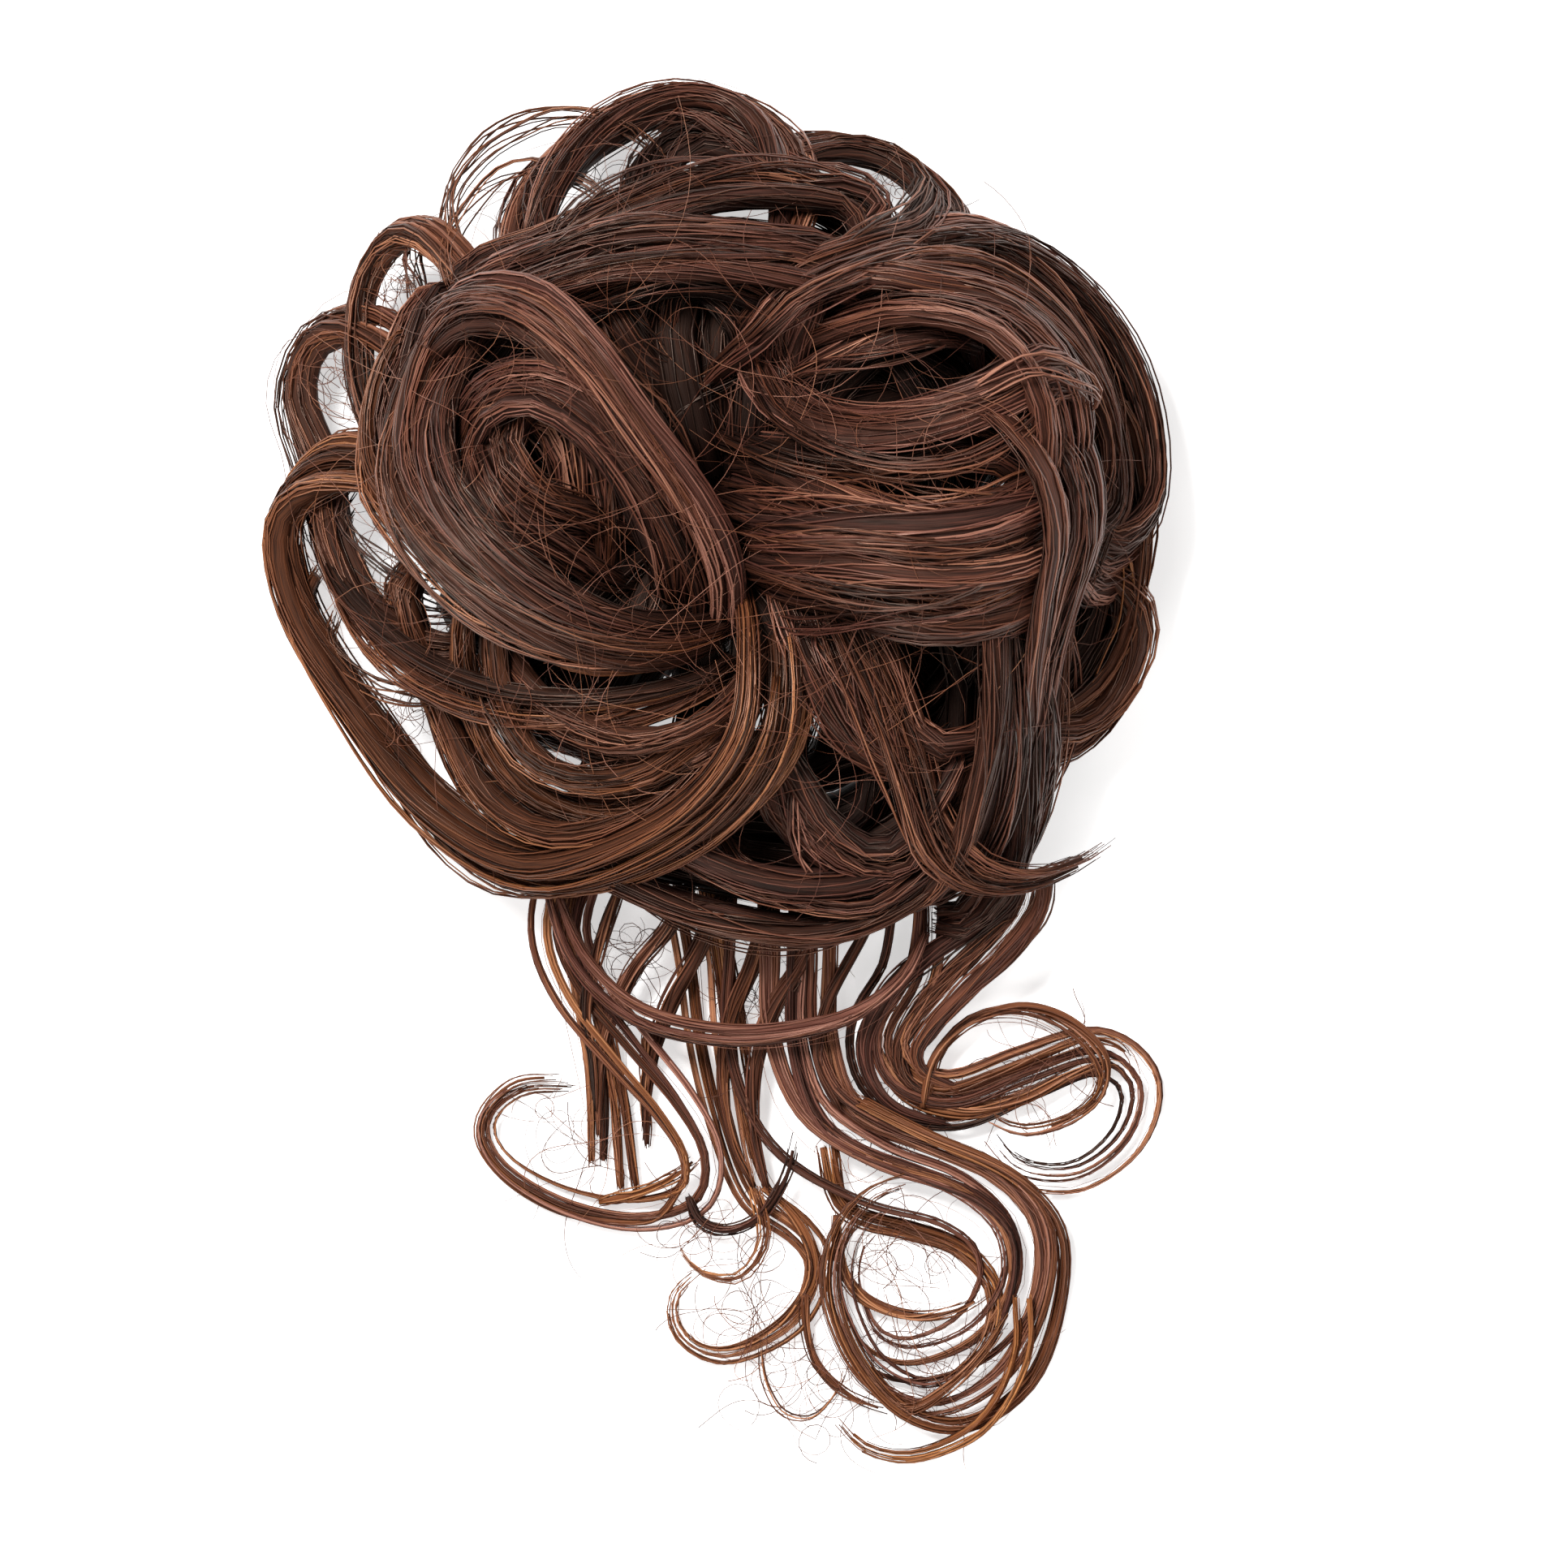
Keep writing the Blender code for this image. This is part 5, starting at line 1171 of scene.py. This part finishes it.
def flyawayPaths(rng):
    tree = surfaceTree("bun_loops")
    points = flyaways["points"]
    hairs = []
    while len(hairs) < flyaways["overBun"]:
        angle = rng.uniform(0, 2 * math.pi)
        out = flyaways["within"] * math.sqrt(rng.uniform(0, 1))
        middle = bandCentre[:2] + bun["radius"] * out * np.array([math.cos(angle), math.sin(angle)])
        length = rng.uniform(*flyaways["lengths"])
        curl = rng.choice([-1, 1]) * length / (flyaways["loopRadius"] * rng.uniform(0.6, 2.5))
        plan = curlyPlan(rng, middle, length, curl, points)
        if np.linalg.norm(plan - bandCentre[:2], axis=1).max() > bun["radius"] * flyaways["farthest"]:
            continue
        heights = restingHeights(tree, plan, rng.uniform(*flyaways["lifts"]))
        if heights is not None:
            hairs.append((np.column_stack([plan, heights]), flyaways["radius"]))
    for _ in range(flyaways["inGaps"]):
        x, y, reach = gapPlaces[rng.integers(len(gapPlaces))]
        middle = np.array(planPoint(x, y)) + bandCentre[:2] + rng.normal(0, reach / 2, 2)
        length = reach * rng.uniform(*flyaways["gapLengths"])
        plan = curlyPlan(rng, middle, length, rng.normal(0, 4), points)
        if y > tail["napeY"]:
            level = rng.uniform(*flyaways["bunLevels"]) * bun["height"]
        else:
            level = rng.uniform(*flyaways["tailLevels"])
        heights = level + wander(rng, 1, np.linspace(0, 1, points), 0.0008, 1)[0]
        hairs.append((np.column_stack([plan, heights]), flyaways["gapRadius"]))
    for where, count in (("bun", flyaways["alongLocks"]), ("tail", flyaways["alongCurls"])):
        for _ in range(count):
            lock, guide = lockLines[where][rng.integers(len(lockLines[where]))]
            beside = besideLine(lock, guide, rng, 0.8 / max(lock["broad"], 0.5))
            path = sampleAt(beside + bandCentre, np.linspace(0, 1, flyaways["longPoints"]))
            hairs.append((path, flyaways["radius"]))
    return hairs


def makeFlyaways():
    rng = np.random.default_rng(31)
    hairs = flyawayPaths(rng)
    bundles = []
    for points in (flyaways["points"], flyaways["longPoints"]):
        group = np.array([path for path, _ in hairs if len(path) == points])
        thick = np.array([[radius] for path, radius in hairs if len(path) == points])
        group = aboveTable(group, 2 * flyaways["gapRadius"])
        t = np.linspace(0, 1, points)
        radii = thick * rng.uniform(0.7, 1.2, (len(group), 1)) * (1 - 0.5 * t**3)
        facing = np.tile([0.1, 0.2, 0.97], (len(group), points, 1))
        shade = 0.58 + rng.normal(0, 0.14, (len(group), 1)) + 0 * t
        warm = rng.uniform(0, 0.4, (len(group), 1)) + 0 * t
        bundles.append({"rings": tubeRings(group, radii, facing), "shade": shade, "warm": warm})
    addPiece("flyaway_hairs", bundles, hairFinishes, ["bun_loops"])


makeFlyaways()

# The elastic: a rubber ring wound closely with polyester yarn
elastic = {"radius": 0.0255, "width": 0.007, "height": 0.006, "yarn": 0.00055, "pitch": 0.0011,
           "turnPoints": 12, "sides": 5, "roundness": 0.7, "coreRings": 96, "coreSides": 12}


def makeBand():
    radius, yarn, roundness = elastic["radius"], elastic["yarn"], elastic["roundness"]
    turns = round(2 * math.pi * radius / elastic["pitch"])
    t = np.arange(turns * elastic["turnPoints"]) / (turns * elastic["turnPoints"])
    turn, wound = 2 * math.pi * t, 2 * math.pi * turns * t
    out = np.sign(np.cos(wound)) * np.abs(np.cos(wound))**roundness * (elastic["width"] / 2 - yarn)
    rise = np.sign(np.sin(wound)) * np.abs(np.sin(wound))**roundness * (elastic["height"] / 2 - yarn)
    path = np.stack([(radius + out) * np.cos(turn), (radius + out) * np.sin(turn),
                     elastic["height"] / 2 + rise], axis=1) + bandCentre
    middle = np.stack([radius * np.cos(turn), radius * np.sin(turn),
                       0 * t + elastic["height"] / 2], axis=1) + bandCentre
    along = unit(np.roll(path, -1, axis=0) - np.roll(path, 1, axis=0))
    facing = unit(path - middle)
    facing = unit(facing - along * np.sum(facing * along, axis=1, keepdims=True))
    across = np.cross(along, facing)
    angles = 2 * math.pi * np.arange(elastic["sides"]) / elastic["sides"]
    ring = across[:, None] * np.cos(angles)[:, None] + facing[:, None] * np.sin(angles)[:, None]
    yarnRings = (path[:, None] + ring * yarn)[None]
    flat = np.zeros((1, len(path)))
    yarnBundle = {"rings": yarnRings, "shade": flat + 0.5, "warm": flat, "closed": True}

    n, sides = elastic["coreRings"], elastic["coreSides"]
    turn = 2 * math.pi * np.arange(n) / n
    angles = 2 * math.pi * np.arange(sides) / sides
    outwards = np.stack([np.cos(turn), np.sin(turn), 0 * turn], axis=1)
    core = outwards[:, None] * (radius + (elastic["width"] / 2 - 2 * yarn) * np.cos(angles))[None, :, None]
    core = core + np.array([0, 0, 1.0]) * (elastic["height"] / 2 + (elastic["height"] / 2 - 2 * yarn)
                                           * np.sin(angles))[None, :, None]
    flat = np.zeros((1, n))
    coreBundle = {"rings": (core + bandCentre)[None], "shade": flat + 0.2, "warm": flat, "closed": True}
    addPiece("elastic_ring", [yarnBundle, coreBundle], [yarnFinish], ["elastic_band"])


makeBand()

# The stage: a plain pale floor, soft light from overhead, and a camera straight above
stage = {"floorSize": 3.0, "floorTone": "#f7f6f5", "floorGlow": 0.55, "world": 0.24,
         "viewAcross": 0.2583, "lens": 200, "sensor": 36, "aim": (0.0119, -0.0010, 0.02),
         "lampAim": (0, 0, 0.02)}
# Each lamp's place, width across in metres and power in watts
lamps = {"key": ((-0.45, 0.55, 1.2), 0.4, 21), "fill": ((0.8, 0.3, 1.2), 0.7, 3.5),
         "front": ((-0.35, -0.9, 1.0), 0.6, 6)}


def makeFloor():
    bpy.ops.object.select_all(action="DESELECT")
    bpy.ops.mesh.primitive_plane_add(size=stage["floorSize"], location=(0, 0, -0.0001))
    floor = bpy.context.object
    floor.name = "floor"
    # opal acrylic light table, matt on top and lit softly from below
    made, tree, shader = newMaterial("opal_acrylic_light_table")
    setInputs(tree, shader, {
        "Base Color": hexColour(stage["floorTone"]), "Roughness": 0.9, "Specular IOR Level": 0.1,
        "Emission Color": (1, 1, 1, 1), "Emission Strength": stage["floorGlow"]})
    floor.data.materials.append(made)


def addLamp(name, place, size, power):
    bpy.ops.object.light_add(type="AREA", location=place)
    light = bpy.context.object
    light.name = name
    light.data.shape = "DISK"
    light.data.size = size
    light.data.energy = power
    towards = Vector(stage["lampAim"]) - Vector(place)
    light.rotation_euler = towards.to_track_quat("-Z", "Y").to_euler()


def makeLights():
    for name, (place, size, power) in lamps.items():
        addLamp(name, place, size, power)
    world = bpy.data.worlds.new("studio")
    bpy.context.scene.world = world
    world.use_nodes = True
    back = world.node_tree.nodes["Background"]
    back.inputs["Color"].default_value = (1, 1, 1, 1)
    back.inputs["Strength"].default_value = stage["world"]


def makeCamera():
    aim = Vector(stage["aim"])
    distance = stage["viewAcross"] * stage["lens"] / stage["sensor"]
    bpy.ops.object.camera_add(location=aim + Vector((0, 0, distance)), rotation=(0, 0, 0))
    camera = bpy.context.object
    camera.data.lens = stage["lens"]
    camera.data.sensor_width = stage["sensor"]
    camera.data.clip_end = 10
    bpy.context.scene.camera = camera


makeFloor()
makeLights()
makeCamera()
bpy.context.scene.view_settings.view_transform = "Standard"
print("stage done")
